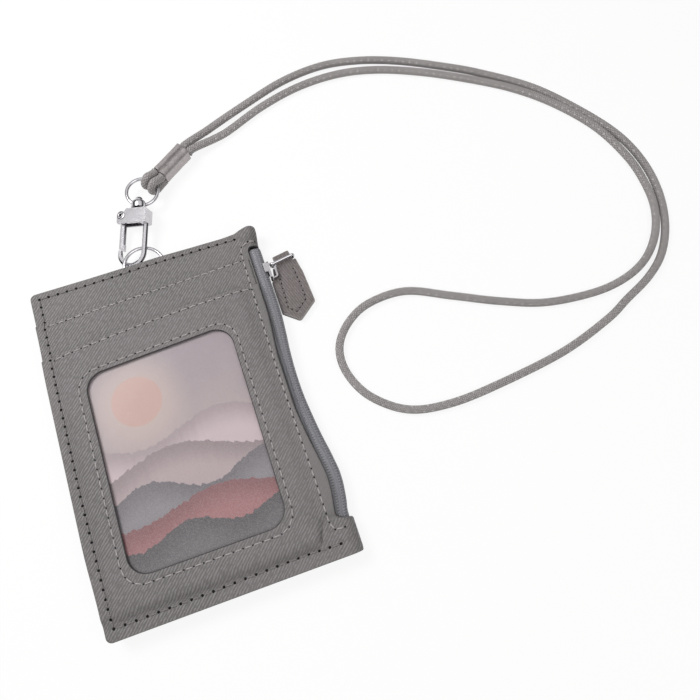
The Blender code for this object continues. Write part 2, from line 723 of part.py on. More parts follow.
def tape_line():
    """Section of the front tape's outer face: level wing, then round to the slit."""
    centre_z = TAPE_FRONT_Z - TAPE_RADIUS
    end = math.degrees(math.asin((TEETH_EDGE_Z - centre_z) / TAPE_RADIUS))
    return [(TAPE_LEFT, TAPE_FRONT_Z)] + arc(TAPE_BEND_X, centre_z, TAPE_RADIUS, 90, end, 8)


def make_tapes(build):
    """The two woven tapes, from inside the leather out to the slit."""
    rows = [TAPE_LOW_Y, TAPE_HIGH_Y]
    front = tape_line()
    back = mirrored(front, MIDDLE_Z)[::-1]

    def place(point, y):
        return (point[0], y, point[1])

    build.sheet("zip_tape_front", place, front, rows, TAPE, "tape")
    build.sheet("zip_tape_back", place, back, rows, TAPE, "tape")


def teeth_outline():
    """Comb of teeth in (y, depth): the core's back at the top, the teeth towards the slit."""
    deep = TOOTH_LONG
    full = TOOTH_LONG + TEETH_CORE
    points = [(TEETH_HIGH_Y, full), (TEETH_LOW_Y, full)]
    count = int((TEETH_HIGH_Y - TEETH_LOW_Y) / TOOTH_PITCH)
    for i in range(count):
        start = TEETH_LOW_Y + i * TOOTH_PITCH
        points += [
            (start, deep), (start + (TOOTH_PITCH - TOOTH_WIDE), deep),
            (start + (TOOTH_PITCH - TOOTH_WIDE), 0.0), (start + TOOTH_PITCH, 0.0),
        ]
    points.append((TEETH_HIGH_Y, deep))
    cleaned = [points[0]]
    for point in points[1:]:
        if (Vector(point) - Vector(cleaned[-1])).length > 0.01 * MM:
            cleaned.append(point)
    return cleaned


def make_teeth(build):
    """Rows of teeth on the tapes' inner edges, one pitch apart in step."""
    middle_x = TEETH_X + TEETH_WIDE / 2
    for name, side in (("zip_teeth_front", 1), ("zip_teeth_back", -1)):
        place = Matrix((
            (0, 0, side, middle_x), (1, 0, 0, 0),
            (0, side, 0, MIDDLE_Z + side * (SLIT / 2 + 0.05 * MM)), (0, 0, 0, 1),
        ))
        build.plate(name, [teeth_outline()], TEETH_WIDE, "teeth", place)


def make_stops(build):
    """Two stops above the slider and one below the last teeth."""
    x_low = TEETH_X
    x_high = TEETH_X + TEETH_WIDE
    tall = TOOTH_LONG + TEETH_CORE
    y_low = TEETH_HIGH_Y + STOP_GAP
    for name, side in (("zip_top_stop_front", 1), ("zip_top_stop_back", -1)):
        near = MIDDLE_Z + side * (SLIT / 2 + 0.05 * MM)
        z_low, z_high = sorted((near, near + side * tall))
        stop = build.box(
            name, (x_low, y_low, z_low), (x_high, y_low + STOP_LONG, z_high), "nickel"
        )
        build.bevel(stop, 0.12 * MM)
    y_high = TEETH_LOW_Y - STOP_GAP
    reach = SLIT / 2 + tall
    stop = build.box(
        "zip_bottom_stop", (x_low, y_high - STOP_LONG, MIDDLE_Z - reach),
        (x_high, y_high, MIDDLE_Z + reach), "nickel",
    )
    build.bevel(stop, 0.15 * MM)


def make_slider(build):
    """Slider: outer plate with flanges, post through the slit and inner plate."""
    middle_y = (SLIDER_LOW_Y + SLIDER_HIGH_Y) / 2
    half = SLIDER_LONG / 2
    wide = SLIDER_WIDE / 2
    tail = SLIDER_TAIL_WIDE / 2
    outline = rounded((
        (-half, -tail, 0.5 * MM), (-half * 0.2, -wide, 1.0 * MM), (half, -wide, 0.9 * MM),
        (half, wide, 0.9 * MM), (-half * 0.2, wide, 1.0 * MM), (-half, tail, 0.5 * MM),
    ))
    upright = Matrix((
        (0, 0, 1, SLIDER_X + SLIDER_PLATE / 2), (1, 0, 0, middle_y), (0, 1, 0, MIDDLE_Z),
        (0, 0, 0, 1),
    ))
    slider = build.plate("slider_body", [outline], SLIDER_PLATE, "nickel", upright)
    build.bevel(slider, 0.15 * MM)
    flange_low = SLIDER_LOW_Y + half * 0.75
    flange_high = SLIDER_HIGH_Y - 0.5 * MM
    bite = SLIDER_X + 0.3 * MM
    for name, side in (("slider_flange_front", 1), ("slider_flange_back", -1)):
        outer = MIDDLE_Z + side * (wide - 0.02 * MM)
        z_low, z_high = sorted((outer, outer - side * FLANGE_THICK))
        flange = build.box(
            name, (SLIDER_X - FLANGE_REACH, flange_low, z_low), (bite, flange_high, z_high)
        )
        build.boolean(slider, flange, "UNION")
    post = build.box(
        "slider_post",
        (INNER_PLATE_X + 0.4 * MM, SLIDER_HIGH_Y - POST_LONG - 0.2 * MM, MIDDLE_Z - POST_THICK / 2),
        (bite, SLIDER_HIGH_Y - 0.2 * MM, MIDDLE_Z + POST_THICK / 2),
    )
    build.boolean(slider, post, "UNION")
    inner = build.box(
        "slider_inner_plate", (INNER_PLATE_X, SLIDER_LOW_Y, MIDDLE_Z - INNER_PLATE_WIDE / 2),
        (INNER_PLATE_X + SLIDER_PLATE, SLIDER_HIGH_Y, MIDDLE_Z + INNER_PLATE_WIDE / 2),
    )
    build.bevel(inner, 0.2 * MM)
    build.boolean(slider, inner, "UNION")


def make_bail(build):
    """Bridge on the slider, open between its feet for the puller's ring."""
    low = SLIDER_LOW_Y + BAIL_INSET
    high = SLIDER_HIGH_Y - BAIL_INSET
    seat = SLIDER_FACE_X + BAIL_SEAT
    crown = SLIDER_FACE_X + BAIL_GAP + BAIL_THICK
    under = SLIDER_FACE_X + BAIL_GAP
    outline = rounded((
        (seat, low, 0), (crown, low + 0.3 * MM, 0.9 * MM), (crown, high - 0.3 * MM, 0.9 * MM),
        (seat, high, 0), (seat, high - BAIL_FOOT, 0), (under, high - BAIL_FOOT, 0.3 * MM),
        (under, low + BAIL_FOOT, 0.3 * MM), (seat, low + BAIL_FOOT, 0),
    ))
    middle = Matrix.Translation((0, 0, MIDDLE_Z))
    bail = build.plate("slider_bail", [outline], BAIL_WIDE, "nickel", middle)
    build.bevel(bail, 0.10 * MM)


def pull_frame():
    """Frame of the puller: X along the ring's long legs, Z up its short legs."""
    return frame(PULL_PIVOT, heading=PULL_ANGLE)


def make_puller(build):
    """Flat wire ring standing in the bridge, and the leather folded round its lower leg."""
    half = PULL_TALL / 2
    corners = (
        (0.0, -half, PULL_CORNER), (PULL_LONG, -half, PULL_CORNER),
        (PULL_LONG, half, PULL_CORNER), (0.0, half, PULL_CORNER),
    )
    line = [(x, 0.0, z) for x, z in rounded(corners)]
    build.wire("puller_ring", line, PULL_WIRE, "nickel", pull_frame(), cyclic=True)

    outline = rounded([(PULL_PIVOT.x + x, PULL_PIVOT.y + y, r) for x, y, r in TAB_OUTLINE])
    neck = rounded_neck()
    middle = Matrix.Translation((0, 0, TAB_Z + TAB_THICK / 2))
    leather = build.plate("puller_leather", [outline], TAB_THICK, "leather", middle)
    neck_piece = build.plate("puller_neck", [neck], TAB_THICK, matrix=middle)
    build.boolean(leather, neck_piece, "UNION")
    place = pull_frame()
    roll = build.rod(
        "puller_roll", (TAB_NECK[0], 0, -half), (TAB_NECK[1], 0, -half), TAB_ROLL, matrix=place
    )
    build.boolean(leather, roll, "UNION")
    eye = build.rod(
        "puller_eye_cut", (TAB_NECK[0] - 2 * MM, 0, -half), (TAB_NECK[1] + 2 * MM, 0, -half),
        TAB_EYE, matrix=place,
    )
    build.boolean(leather, eye)
    build.move_origin(leather, place @ Vector((0, 0, -half)))


def rounded_neck():
    """Outline of the leather between its shoulders and the roll."""
    place = pull_frame()
    left = place @ Vector((TAB_NECK[0], 0, 0))
    right = place @ Vector((TAB_NECK[1], 0, 0))
    low = PULL_PIVOT.y + TAB_OUTLINE[0][1] - TAB_HIP
    return [(left.x, low), (right.x, low), (right.x, right.y), (left.x, left.y)]


def ring_height(across, along):
    """Height of the tilted lower ring's plane over a point off its centre."""
    return RING_CENTRE.z + RING_TILT_X * across + RING_TILT_Y * along


def make_lower_ring(build):
    """Wire ring, lying tilted over the hook's nose and under its rod."""
    line = []
    for angle in spread(0.0, 2 * math.pi, 34)[:-1]:
        across = RING_RADIUS * math.cos(angle)
        along = RING_RADIUS * math.sin(angle)
        point = (RING_CENTRE.x + across, RING_CENTRE.y + along, ring_height(across, along))
        line.append(point)
    ring = build.wire("lower_ring", line, RING_WIRE, "nickel", cyclic=True)
    build.move_origin(ring, ring_fold())


def ring_fold():
    """Centre of the ring's wire where the tab holds it."""
    return Vector((RING_CENTRE.x, RING_CENTRE.y - RING_RADIUS, ring_height(0, -RING_RADIUS)))


def make_ring_tab(build):
    """Leather strip folded round the ring, with both ends sewn under the sloping back."""
    fold = ring_fold()
    half = RING_TAB_THICK / 2
    loop = RING_TAB_TUNNEL + half
    centre_y = fold.y + RING_TAB_FRONT - loop + half
    centre_z = fold.z - RING_TAB_DROP

    def upper(y):
        return (y, back_rise(0.0, y) - SHEET_GAP - half)

    def lower(y):
        return (y, upper(y)[1] - RING_TAB_THICK - SHEET_GAP)

    end = RING_TAB_END_Y
    top = [upper(y) for y in (end, end + 2.5 * MM, end + 5.0 * MM)]
    top.append((centre_y - 1.6 * MM, centre_z + loop - 0.10 * MM))
    turn = arc(centre_y, centre_z, loop, 90, -90, 10)
    throat = [(centre_y - 1.5 * MM, centre_z - loop + 0.12 * MM)]
    throat.append((centre_y - 3.0 * MM, centre_z - loop + 1.1 * MM))
    bottom = [lower(y) for y in (end + 4.6 * MM, end + 2.5 * MM, end)]
    outline = strip_outline(top + turn + throat + bottom, RING_TAB_THICK)
    upright = Matrix(((0, 0, 1, fold.x), (1, 0, 0, 0), (0, 1, 0, 0), (0, 0, 0, 1)))
    build.plate("ring_tab", [outline], RING_TAB_WIDE, "leather", upright)


def hook_frame():
    """Frame of the snap hook."""
    return frame(HOOK_ORIGIN, HOOK_HEADING, HOOK_PITCH, HOOK_ROLL)


def make_hook_body(build):
    """Housing, rod and round nose of the snap hook, cast in one."""
    place = hook_frame()
    boss = arc(PIN_POINT[0], PIN_POINT[1], BOSS_RADIUS, 50, 180, 8)
    outline = rounded((
        (HOUSING_LEFT, HOUSING_LOW, 0.6 * MM), (HOUSING_RIGHT, HOUSING_LOW, 0.5 * MM),
        (HOUSING_RIGHT, HOUSING_HIGH, 0.9 * MM), (HOUSING_SHOULDER, HOUSING_HIGH, 0.5 * MM),
        (*boss[0], 0), (*boss[-1], 0),
    ))
    first = min(range(len(outline)), key=lambda i: (Vector(outline[i]) - Vector(boss[0])).length)
    outline = outline[:first] + boss + outline[first + 2:]
    housing = build.plate("hook_body", [outline], HOUSING_THICK, "nickel", place)
    build.bevel(housing, HOUSING_EDGE)

    hollow = HOUSING_THICK / 2 - HOUSING_WALL
    far_left = HOUSING_LEFT - 2 * MM
    far_low = HOUSING_LOW - 1 * MM
    inner_right = HOUSING_RIGHT - HOUSING_FLANK
    roof = HOUSING_HIGH - HOUSING_ROOF
    ear_right = HOUSING_SHOULDER - EAR_GAP
    cavity = build.plate("housing_hollow", [(
        (far_left, far_low), (inner_right, far_low), (inner_right, roof), (ear_right, roof),
        (ear_right, HOUSING_HIGH + 1 * MM), (far_left, HOUSING_HIGH + 1 * MM),
    )], 2 * hollow, matrix=place)
    build.boolean(housing, cavity)
    reach = HOUSING_THICK
    pin_hole = build.rod(
        "pin_hole_cut", (*PIN_POINT, -reach), (*PIN_POINT, reach), PIN_RADIUS + PIN_CLEAR,
        matrix=place,
    )
    build.boolean(housing, pin_hole)
    post_hole = build.rod(
        "post_hole_cut", (SWIVEL_ACROSS, HOUSING_HIGH - 2 * HOUSING_ROOF, 0),
        (SWIVEL_ACROSS, HOUSING_HIGH + 1 * MM, 0), SWIVEL_POST + SWIVEL_POST_CLEAR, matrix=place,
    )
    build.boolean(housing, post_hole)

    rod_top = HOUSING_LOW + 1.5 * MM
    way = [(HOOK_RADIUS, rod_top), (HOOK_RADIUS, HOUSING_LOW / 2)]
    way += arc(0, 0, HOOK_RADIUS, 0, -180, 18) + [(-HOOK_RADIUS, HOOK_TIP)]
    line = [(x, y, 0.0) for x, y in way]
    shares = [1.0] * (len(line) - 3) + [0.97, 0.92, 0.82]
    nose = build.wire("hook_nose", line, HOOK_WIRE, None, place, ends=shares)
    build.boolean(housing, nose, "UNION")


def make_gate(build):
    """Gate with its knuckle between the housing's ears and a tongue inside the hook's tip."""
    place = hook_frame()
    low_z, high_z = KNUCKLE_Z
    knuckle = build.rod(
        "gate", (*PIN_POINT, low_z), (*PIN_POINT, high_z), KNUCKLE_RADIUS, "nickel", place
    )
    arm_top = PIN_POINT[1] - SPRING_RADIUS - GATE_NECK
    end = Vector((PIN_POINT[0], GATE_END, 0.0))
    arm = build.wire(
        "gate_arm", [(PIN_POINT[0], arm_top, 0.0), (PIN_POINT[0], 6.0 * MM, 0.0), end],
        GATE_RADIUS, None, place,
    )
    build.boolean(knuckle, arm, "UNION")
    tang = build.box(
        "gate_tang", (PIN_POINT[0] - TANG_HALF, arm_top - 0.6 * MM, low_z),
        (PIN_POINT[0] + TANG_HALF, PIN_POINT[1], high_z), matrix=place,
    )
    build.boolean(knuckle, tang, "UNION")
    tip_inner = -HOOK_RADIUS + HOOK_WIRE
    tongue = build.box(
        "gate_tongue", (tip_inner + GATE_TONGUE, GATE_TONGUE_LOW, -0.7 * MM),
        (PIN_POINT[0] + GATE_RADIUS - 0.05 * MM, GATE_END + 1.5 * MM, 0.7 * MM), matrix=place,
    )
    build.bevel(tongue, 0.12 * MM)
    build.boolean(knuckle, tongue, "UNION")
    hole = build.rod(
        "gate_hole_cut", (*PIN_POINT, -HOUSING_THICK), (*PIN_POINT, HOUSING_THICK),
        PIN_RADIUS + PIN_CLEAR, matrix=place,
    )
    build.boolean(knuckle, hole)
    build.move_origin(knuckle, place @ Vector((*PIN_POINT, 0.0)))

    half = HOUSING_THICK / 2
    pin = build.rod("gate_pin", (*PIN_POINT, -half), (*PIN_POINT, half), PIN_RADIUS, "steel", place)
    build.bevel(pin, 0.08 * MM)


def make_gate_spring(build):
    """Torsion spring round the pin, with one leg on the housing and one along the gate."""
    place = hook_frame()
    low_z, high_z = SPRING_Z
    line = []
    for angle in spread(0.0, SPRING_SWEEP, 22):
        x = PIN_POINT[0] + SPRING_RADIUS * math.cos(angle)
        y = PIN_POINT[1] + SPRING_RADIUS * math.sin(angle)
        line.append(Vector((x, y, low_z + (high_z - low_z) * angle / SPRING_SWEEP)))
    gate_end = line[0] - Vector((0.0, SPRING_GATE_LEG, 0.0))
    leaving = Vector((-math.sin(SPRING_SWEEP), math.cos(SPRING_SWEEP), 0.0))
    line = [gate_end] + line + [line[-1] + leaving * SPRING_ROOF_LEG]
    build.wire("gate_spring", line, SPRING_WIRE, "steel", place)


def swivel_frame():
    """Frame of the swivel: Y along its post from the housing's top, turned about it."""
    seat = Matrix.Translation((SWIVEL_ACROSS, HOUSING_HIGH + SWIVEL_SEAT, 0.0))
    return hook_frame() @ seat @ Matrix.Rotation(SWIVEL_TURN, 4, "Y")


def eye_middle():
    """Height over the swivel's seat at which the upper ring's wire crosses the eye."""
    return COLLAR_THICK + UPPER_CLEAR + UPPER_WIRE


def make_swivel(build):
    """Bell-shaped eye on a collar, with its headed post in the housing's roof."""
    place = swivel_frame()
    shoulder = EYE_BAR + EYE_SIDE
    neck = (EYE_HALF + EYE_TOP_HALF) / 2 - 0.35 * MM
    outline = rounded((
        (-EYE_HALF, 0, 0.3 * MM), (EYE_HALF, 0, 0.3 * MM), (EYE_HALF, shoulder, 0.8 * MM),
        (neck, (shoulder + EYE_TALL) / 2, 1.5 * MM), (EYE_TOP_HALF, EYE_TALL, 0.5 * MM),
        (-EYE_TOP_HALF, EYE_TALL, 0.5 * MM), (-neck, (shoulder + EYE_TALL) / 2, 1.5 * MM),
        (-EYE_HALF, shoulder, 0.8 * MM),
    ))
    radius = (EYE_HOLE_HALF ** 2 + EYE_HOLE_TALL ** 2) / (2 * EYE_HOLE_TALL)
    side = math.degrees(math.asin((radius - EYE_HOLE_TALL) / radius))
    hole = arc(0, EYE_BAR - (radius - EYE_HOLE_TALL), radius, side, 180 - side, 12)
    swivel = build.plate("swivel", [outline, hole[::-1]], EYE_THICK, "nickel", place)
    build.bevel(swivel, 0.18 * MM, segments=2, angle=50)
    collar = build.rod(
        "swivel_collar", (0, 0, 0), (0, COLLAR_THICK - 0.02 * MM, 0), COLLAR_RADIUS, matrix=place
    )
    build.boolean(swivel, collar, "UNION")
    neck_low = -(SWIVEL_SEAT + HOUSING_ROOF + 0.2 * MM + SWIVEL_HEAD_THICK)
    post = build.rod(
        "swivel_post", (0, neck_low + 0.1 * MM, 0), (0, 0.3 * MM, 0), SWIVEL_POST, matrix=place
    )
    build.boolean(swivel, post, "UNION")
    head = build.rod(
        "swivel_head", (0, neck_low, 0), (0, neck_low + SWIVEL_HEAD_THICK, 0), SWIVEL_HEAD,
        matrix=place,
    )
    build.boolean(swivel, head, "UNION")


def upper_frame():
    """Frame of the upper ring, with its centre at the origin and the eye at -Y."""
    crossing = swivel_frame() @ Vector((0.0, eye_middle(), 0.0))
    turned = frame(Vector(), UPPER_HEADING, UPPER_PITCH, UPPER_ROLL)
    turned.translation = crossing + turned.to_3x3() @ Vector((0.0, UPPER_RADIUS, 0.0))
    return turned


def make_upper_ring(build):
    """Wire ring through the swivel's eye and the two cord loops."""
    angles = spread(0.0, 2 * math.pi, 30)[:-1]
    line = [(UPPER_RADIUS * math.cos(a), UPPER_RADIUS * math.sin(a), 0.0) for a in angles]
    build.wire("upper_ring", line, UPPER_WIRE, "nickel", upper_frame(), cyclic=True)


def ring_crossing(strand, along, left):
    """Point of the upper ring's wire, on its far side, in the upright plane of a cord strand."""
    place = upper_frame()
    across = place.to_3x3() @ Vector((UPPER_RADIUS, 0.0, 0.0))
    up_ring = place.to_3x3() @ Vector((0.0, UPPER_RADIUS, 0.0))
    a = across.dot(left)
    b = up_ring.dot(left)
    c = (strand - place.translation).dot(left)
    middle = math.atan2(b, a)
    swing = math.acos(max(-1.0, min(1.0, c / math.hypot(a, b))))
    points = []
    for angle in (middle - swing, middle + swing):
        points.append(place.translation + across * math.cos(angle) + up_ring * math.sin(angle))
    return max(points, key=lambda point: point.dot(along))


def crimp_axis():
    """Direction of the crimp along the cord, and the level direction to its left."""
    along = Vector((math.cos(CRIMP_HEADING), math.sin(CRIMP_HEADING), 0.0))
    return along, Vector((-along.y, along.x, 0.0))


def make_cord_loops(build):
    """Two bights of cord side by side, from the crimp round the ring's wire and back."""
    along, left = crimp_axis()
    side_step = CORD_RADIUS + CORD_GAP / 2
    strand_step = CORD_RADIUS + CORD_GAP / 2 - 0.05 * MM
    crimp_face = CRIMP_START - along * FACE_GAP
    up = Vector((0, 0, 1))
    for name, side in (("cord_loop_left", 1), ("cord_loop_right", -1)):
        end = crimp_face + left * side * side_step
        bend = ring_crossing(end, along, left)
        line = [end - up * strand_step, end - up * strand_step - along * LOOP_LEAD]
        for angle in spread(-90, -270, 8):
            turned = math.radians(angle)
            spoke = along * math.cos(turned) + up * math.sin(turned)
            line.append(bend + spoke * LOOP_RADIUS)
        line += [end + up * strand_step - along * LOOP_LEAD, end + up * strand_step]
        build.wire(name, smooth_way(line, LOOP_STEP), CORD_RADIUS, "cord")


def make_crimp(build):
    """Sleeve drawn tight over the four strands, lobed where each one lies."""
    along, left = crimp_axis()
    half_x = CRIMP_WIDE / 2
    half_y = CRIMP_TALL / 2
    lobe = CRIMP_LOBE
    waist = CRIMP_WAIST
    outline = rounded((
        (-half_x, -half_y, lobe), (0, -half_y + waist, 2.0 * MM), (half_x, -half_y, lobe),
        (half_x - waist, 0, 2.0 * MM), (half_x, half_y, lobe), (0, half_y - waist, 2.0 * MM),
        (-half_x, half_y, lobe), (-half_x + waist, 0, 2.0 * MM),
    ))
    centre = CRIMP_START + along * (CRIMP_LONG / 2)
    place = Matrix((
        (-left.x, 0, along.x, centre.x), (-left.y, 0, along.y, centre.y),
        (0, 1, 0, centre.z), (0, 0, 0, 1),
    ))
    crimp = build.plate("crimp", [outline], CRIMP_LONG, "sleeve", place)
    build.bevel(crimp, 0.3 * MM, angle=60)


def cord_way():
    """Route of the long cord, from the crimp's end out over the table and back."""
    along, left = crimp_axis()
    exit_face = CRIMP_START + along * (CRIMP_LONG + FACE_GAP)
    side = left * (CORD_RADIUS + CORD_GAP / 2)
    lift = Vector((0, 0, CORD_EXIT_Z - CRIMP_START.z))
    first = exit_face + side + lift
    last = exit_face - side + lift
    points = [first, first + along * 2.8 * MM]
    points += [Vector((x * MM, BODY_TOP + y * MM, CORD_REST_Z)) for x, y in CORD_ROUTE_MM]
    points += [last + along * 2.8 * MM, last]
    return points


def make_cord(build):
    """Long cord lying on the table in a doubled loop."""
    line = smooth_way(cord_way(), CORD_STEP)
    for point in line:
        point.z = max(point.z, CORD_REST_Z)
    build.wire("lanyard_cord", line, CORD_RADIUS, "cord")


def shade_round(build):
    """Smooth shading with sharp edges kept."""
    for thing in build.parts.objects:
        thing.data.shade_smooth()
        thing.data.set_sharp_from_angle(angle=math.radians(35))


def main():
    """Builds the card holder in an emptied scene."""
    for thing in list(bpy.data.objects):
        bpy.data.objects.remove(thing)
    build = Builder()
    make_shell(build)
    make_slot_panel(build)
    make_window_panel(build)
    make_window_pieces(build)
    make_linings(build)
    make_tapes(build)
    make_teeth(build)
    make_stops(build)
    make_slider(build)
    make_bail(build)
    make_puller(build)
    make_lower_ring(build)
    make_ring_tab(build)
    make_hook_body(build)
    make_gate(build)
    make_gate_spring(build)
    make_swivel(build)
    make_upper_ring(build)
    make_cord_loops(build)
    make_crimp(build)
    make_cord(build)
    shade_round(build)
    bpy.context.view_layer.update()


main()
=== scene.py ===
"""Leather card holder with a zipped pocket, snap hook and cord lanyard, dressed over its frame.

Sizes in the classes are in millimetres, in the frame's own axes; meshes are written in metres.
"""

import logging
import math
from collections.abc import Callable, Sequence
from dataclasses import dataclass, field
from enum import Enum

import bpy
from mathutils import Matrix, Vector
from mathutils.geometry import delaunay_2d_cdt
from mathutils.kdtree import KDTree


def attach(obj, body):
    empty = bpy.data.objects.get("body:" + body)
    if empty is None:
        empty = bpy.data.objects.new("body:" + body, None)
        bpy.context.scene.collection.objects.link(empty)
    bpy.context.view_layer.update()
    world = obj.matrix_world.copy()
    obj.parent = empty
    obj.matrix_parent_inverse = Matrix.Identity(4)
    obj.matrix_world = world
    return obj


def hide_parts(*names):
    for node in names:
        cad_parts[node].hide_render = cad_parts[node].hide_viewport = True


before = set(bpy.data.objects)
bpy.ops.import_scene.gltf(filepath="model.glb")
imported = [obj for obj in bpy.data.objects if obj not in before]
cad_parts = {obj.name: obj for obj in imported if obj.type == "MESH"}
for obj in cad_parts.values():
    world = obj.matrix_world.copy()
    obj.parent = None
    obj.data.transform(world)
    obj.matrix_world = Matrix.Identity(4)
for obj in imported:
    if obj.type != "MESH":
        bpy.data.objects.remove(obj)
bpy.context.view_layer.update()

LOG = logging.getLogger("card_holder")
MM = 0.001
FLAT_UNIT = 100.0  # millimetres that one unit of the flat coordinates stands for
RIB_PITCH = 1.25
Point = tuple[float, float]
Corner = tuple[float, float, float]
Colour = tuple[float, float, float]
Place = Callable[[float, float], Vector]
Material = bpy.types.Material
Node = bpy.types.Node
Piece = bpy.types.Object
Socket = bpy.types.NodeSocket
Tree = bpy.types.NodeTree


class Body(Enum):
    """The moving bodies that pieces ride on."""

    HOLDER = "holder"
    PULLER = "puller"
    PULLER_TAB = "puller_tab"
    TAB_RING = "tab_ring"
    HOOK = "hook"
    HOOK_SWIVEL = "hook_swivel"
    CORD_RING = "cord_ring"
    LANYARD = "lanyard"


# Shapes in the plane and along curves


def smooth(value: float, start: float, end: float) -> float:
    """Goes from 0 at start to 1 at end with level ends.

    Args:
        value: Where to look.
        start: Value at which the rise begins.
        end: Value at which it is complete.

    Returns:
        The share of the rise, 0 to 1.
    """
    share = min(max((value - start) / (end - start), 0.0), 1.0)
    return share * share * (3.0 - 2.0 * share)


def spread(first: float, last: float, count: int) -> list[float]:
    """Evenly spaced values from first to last, both included."""
    return [first + (last - first) * i / count for i in range(count + 1)]


def between(a: Point, b: Point, share: float) -> Point:
    """The point at a share of the way from a to b."""
    return (a[0] + (b[0] - a[0]) * share, a[1] + (b[1] - a[1]) * share)


def turns_of(count: int, shift: float = 0.0) -> list[float]:
    """Even angles of a full turn, moved on by a share of a step."""
    return [2 * math.pi * (k + shift) / count for k in range(count)]


def arc(centre: Point, radius: float, start: float, end: float, steps: int) -> list[Point]:
    """Points on an arc.

    Args:
        centre: Middle of the arc.
        radius: Its radius.
        start: First angle in degrees.
        end: Last angle in degrees.
        steps: Number of chords.

    Returns:
        The points from the first angle to the last.
    """
    angles = [math.radians(a) for a in spread(start, end, steps)]
    return [(centre[0] + radius * math.cos(a), centre[1] + radius * math.sin(a)) for a in angles]


def rounded(corners: Sequence[Corner], steps: int = 6) -> list[Point]:
    """Closed outline with rounded corners.

    Args:
        corners: Each corner as x, y and its radius.
        steps: Chords in each corner.

    Returns:
        The outline's points in the order of its corners.
    """
    points: list[Point] = []
    count = len(corners)
    for i, (x, y, radius) in enumerate(corners):
        here = Vector((x, y))
        before = (Vector(corners[i - 1][:2]) - here).normalized()
        after = (Vector(corners[(i + 1) % count][:2]) - here).normalized()
        half = before.angle(after) / 2
        if radius <= 0 or half > 1.56:
            points.append((x, y))
            continue
        centre = here + (before + after).normalized() * (radius / math.sin(half))
        start = here + before * (radius / math.tan(half)) - centre
        end = here + after * (radius / math.tan(half)) - centre
        turn = start.angle_signed(end)
        for k in range(steps + 1):
            spun = Matrix.Rotation(-turn * k / steps, 2) @ start
            points.append(tuple(centre + spun))
    return points


def densified(loop: Sequence[Point], step: float) -> list[Point]:
    """The same closed loop with no side longer than a step.

    Args:
        loop: Points of the loop, in order.
        step: Longest side that may stay.

    Returns:
        The loop with points added along its long sides.
    """
    result: list[Point] = []
    for i, here in enumerate(loop):
        there = loop[(i + 1) % len(loop)]
        gap = math.dist(here, there)
        if gap < 1e-4:
            continue
        parts = max(1, math.ceil(gap / step))
        for k in range(parts):
            result.append(between(here, there, k / parts))
    return result


def moved_in(loop: Sequence[Point], amount: float) -> list[Point]:
    """A loop moved by an amount to its left, which is where the material lies.

    Args:
        loop: Points of the closed loop.
        amount: How far it moves.

    Returns:
        One moved point for each of the loop's points.
    """
    result: list[Point] = []
    count = len(loop)
    for i in range(count):
        here = Vector(loop[i])
        first = (here - Vector(loop[i - 1])).normalized()
        second = (Vector(loop[(i + 1) % count]) - here).normalized()
        left = Vector((-first.y - second.y, first.x + second.x))
        share = max(0.4, 1.0 + first.dot(second))
        result.append(tuple(here + left * (amount / share)))
    return result


def inside(point: Point, loops: Sequence[Sequence[Point]]) -> bool:
    """Whether a point lies within the first loop and outside the others.

    Args:
        point: The point.
        loops: The outline and the openings in it.

    Returns:
        True where the point lies in the material.
    """
    x, y = point
    crossings = 0
    for loop in loops:
        for (xa, ya), (xb, yb) in zip(loop, [*loop[1:], loop[0]]):
            if (ya > y) != (yb > y) and x < xa + (y - ya) * (xb - xa) / (yb - ya):
                crossings += 1
    return crossings % 2 == 1


def lengths_along(line: Sequence[Sequence[float]]) -> list[float]:
    """Length from the start of a line to each of its points.

    Args:
        line: Points of the line.

    Returns:
        One length for each point, the first 0.
    """
    result = [0.0]
    for here, there in zip(line, line[1:]):
        result.append(result[-1] + math.dist(here, there))
    return result


def even_steps(line: Sequence[Sequence[float]], count: int) -> list[tuple[int, float]]:
    """Where evenly spaced points lie on a line, as a side's number and the share of that side.

    Args:
        line: Corners of the line.
        count: Number of steps.

    Returns:
        The side and share of each point, the first and last on the line's ends.
    """
    lengths = lengths_along(line)
    result: list[tuple[int, float]] = []
    index = 0
    for want in spread(0.0, lengths[-1], count):
        while index < len(line) - 2 and lengths[index + 1] < want:
            index += 1
        result.append((index, (want - lengths[index]) / (lengths[index + 1] - lengths[index])))
    return result


def even_points(line: Sequence[Point], pitch: float) -> list[Point]:
    """Points along an open line, as near to a pitch apart as fits its length.

    Args:
        line: Corners of the line.
        pitch: Wanted distance between the points.

    Returns:
        The points, the first and last on the line's ends.
    """
    count = max(1, round(lengths_along(line)[-1] / pitch))
    return [between(line[i], line[i + 1], t) for i, t in even_steps(line, count)]


def smooth_way(points: Sequence[Vector], step: float) -> list[Vector]:
    """Points at an even step along a smooth curve through the given points.

    Args:
        points: What the curve passes through.
        step: Wanted distance between the points of the result.

    Returns:
        The points along the curve, from its first end to its last.
    """
    padded = [points[0] * 2 - points[1], *points, points[-1] * 2 - points[-2]]
    fine: list[Vector] = []
    for i in range(1, len(padded) - 2):
        a, b, c, d = padded[i - 1:i + 3]
        for k in range(24):
            t = k / 24
            fine.append(0.5 * (
                2 * b + (c - a) * t + (2 * a - 5 * b + 4 * c - d) * t ** 2
                + (3 * b - 3 * c + d - a) * t ** 3
            ))
    fine.append(points[-1])
    count = max(2, round(lengths_along(fine)[-1] / step))
    return [fine[i].lerp(fine[i + 1], t) for i, t in even_steps(fine, count)]


def tree_of(points: Sequence[Point]) -> KDTree:
    """A search tree of flat points, which may be none.

    Args:
        points: The flat points.

    Returns:
        The tree, balanced and ready to search.
    """
    tree = KDTree(max(1, len(points)))
    for i, point in enumerate(points):
        tree.insert((*point, 0.0), i)
    tree.balance()
    return tree


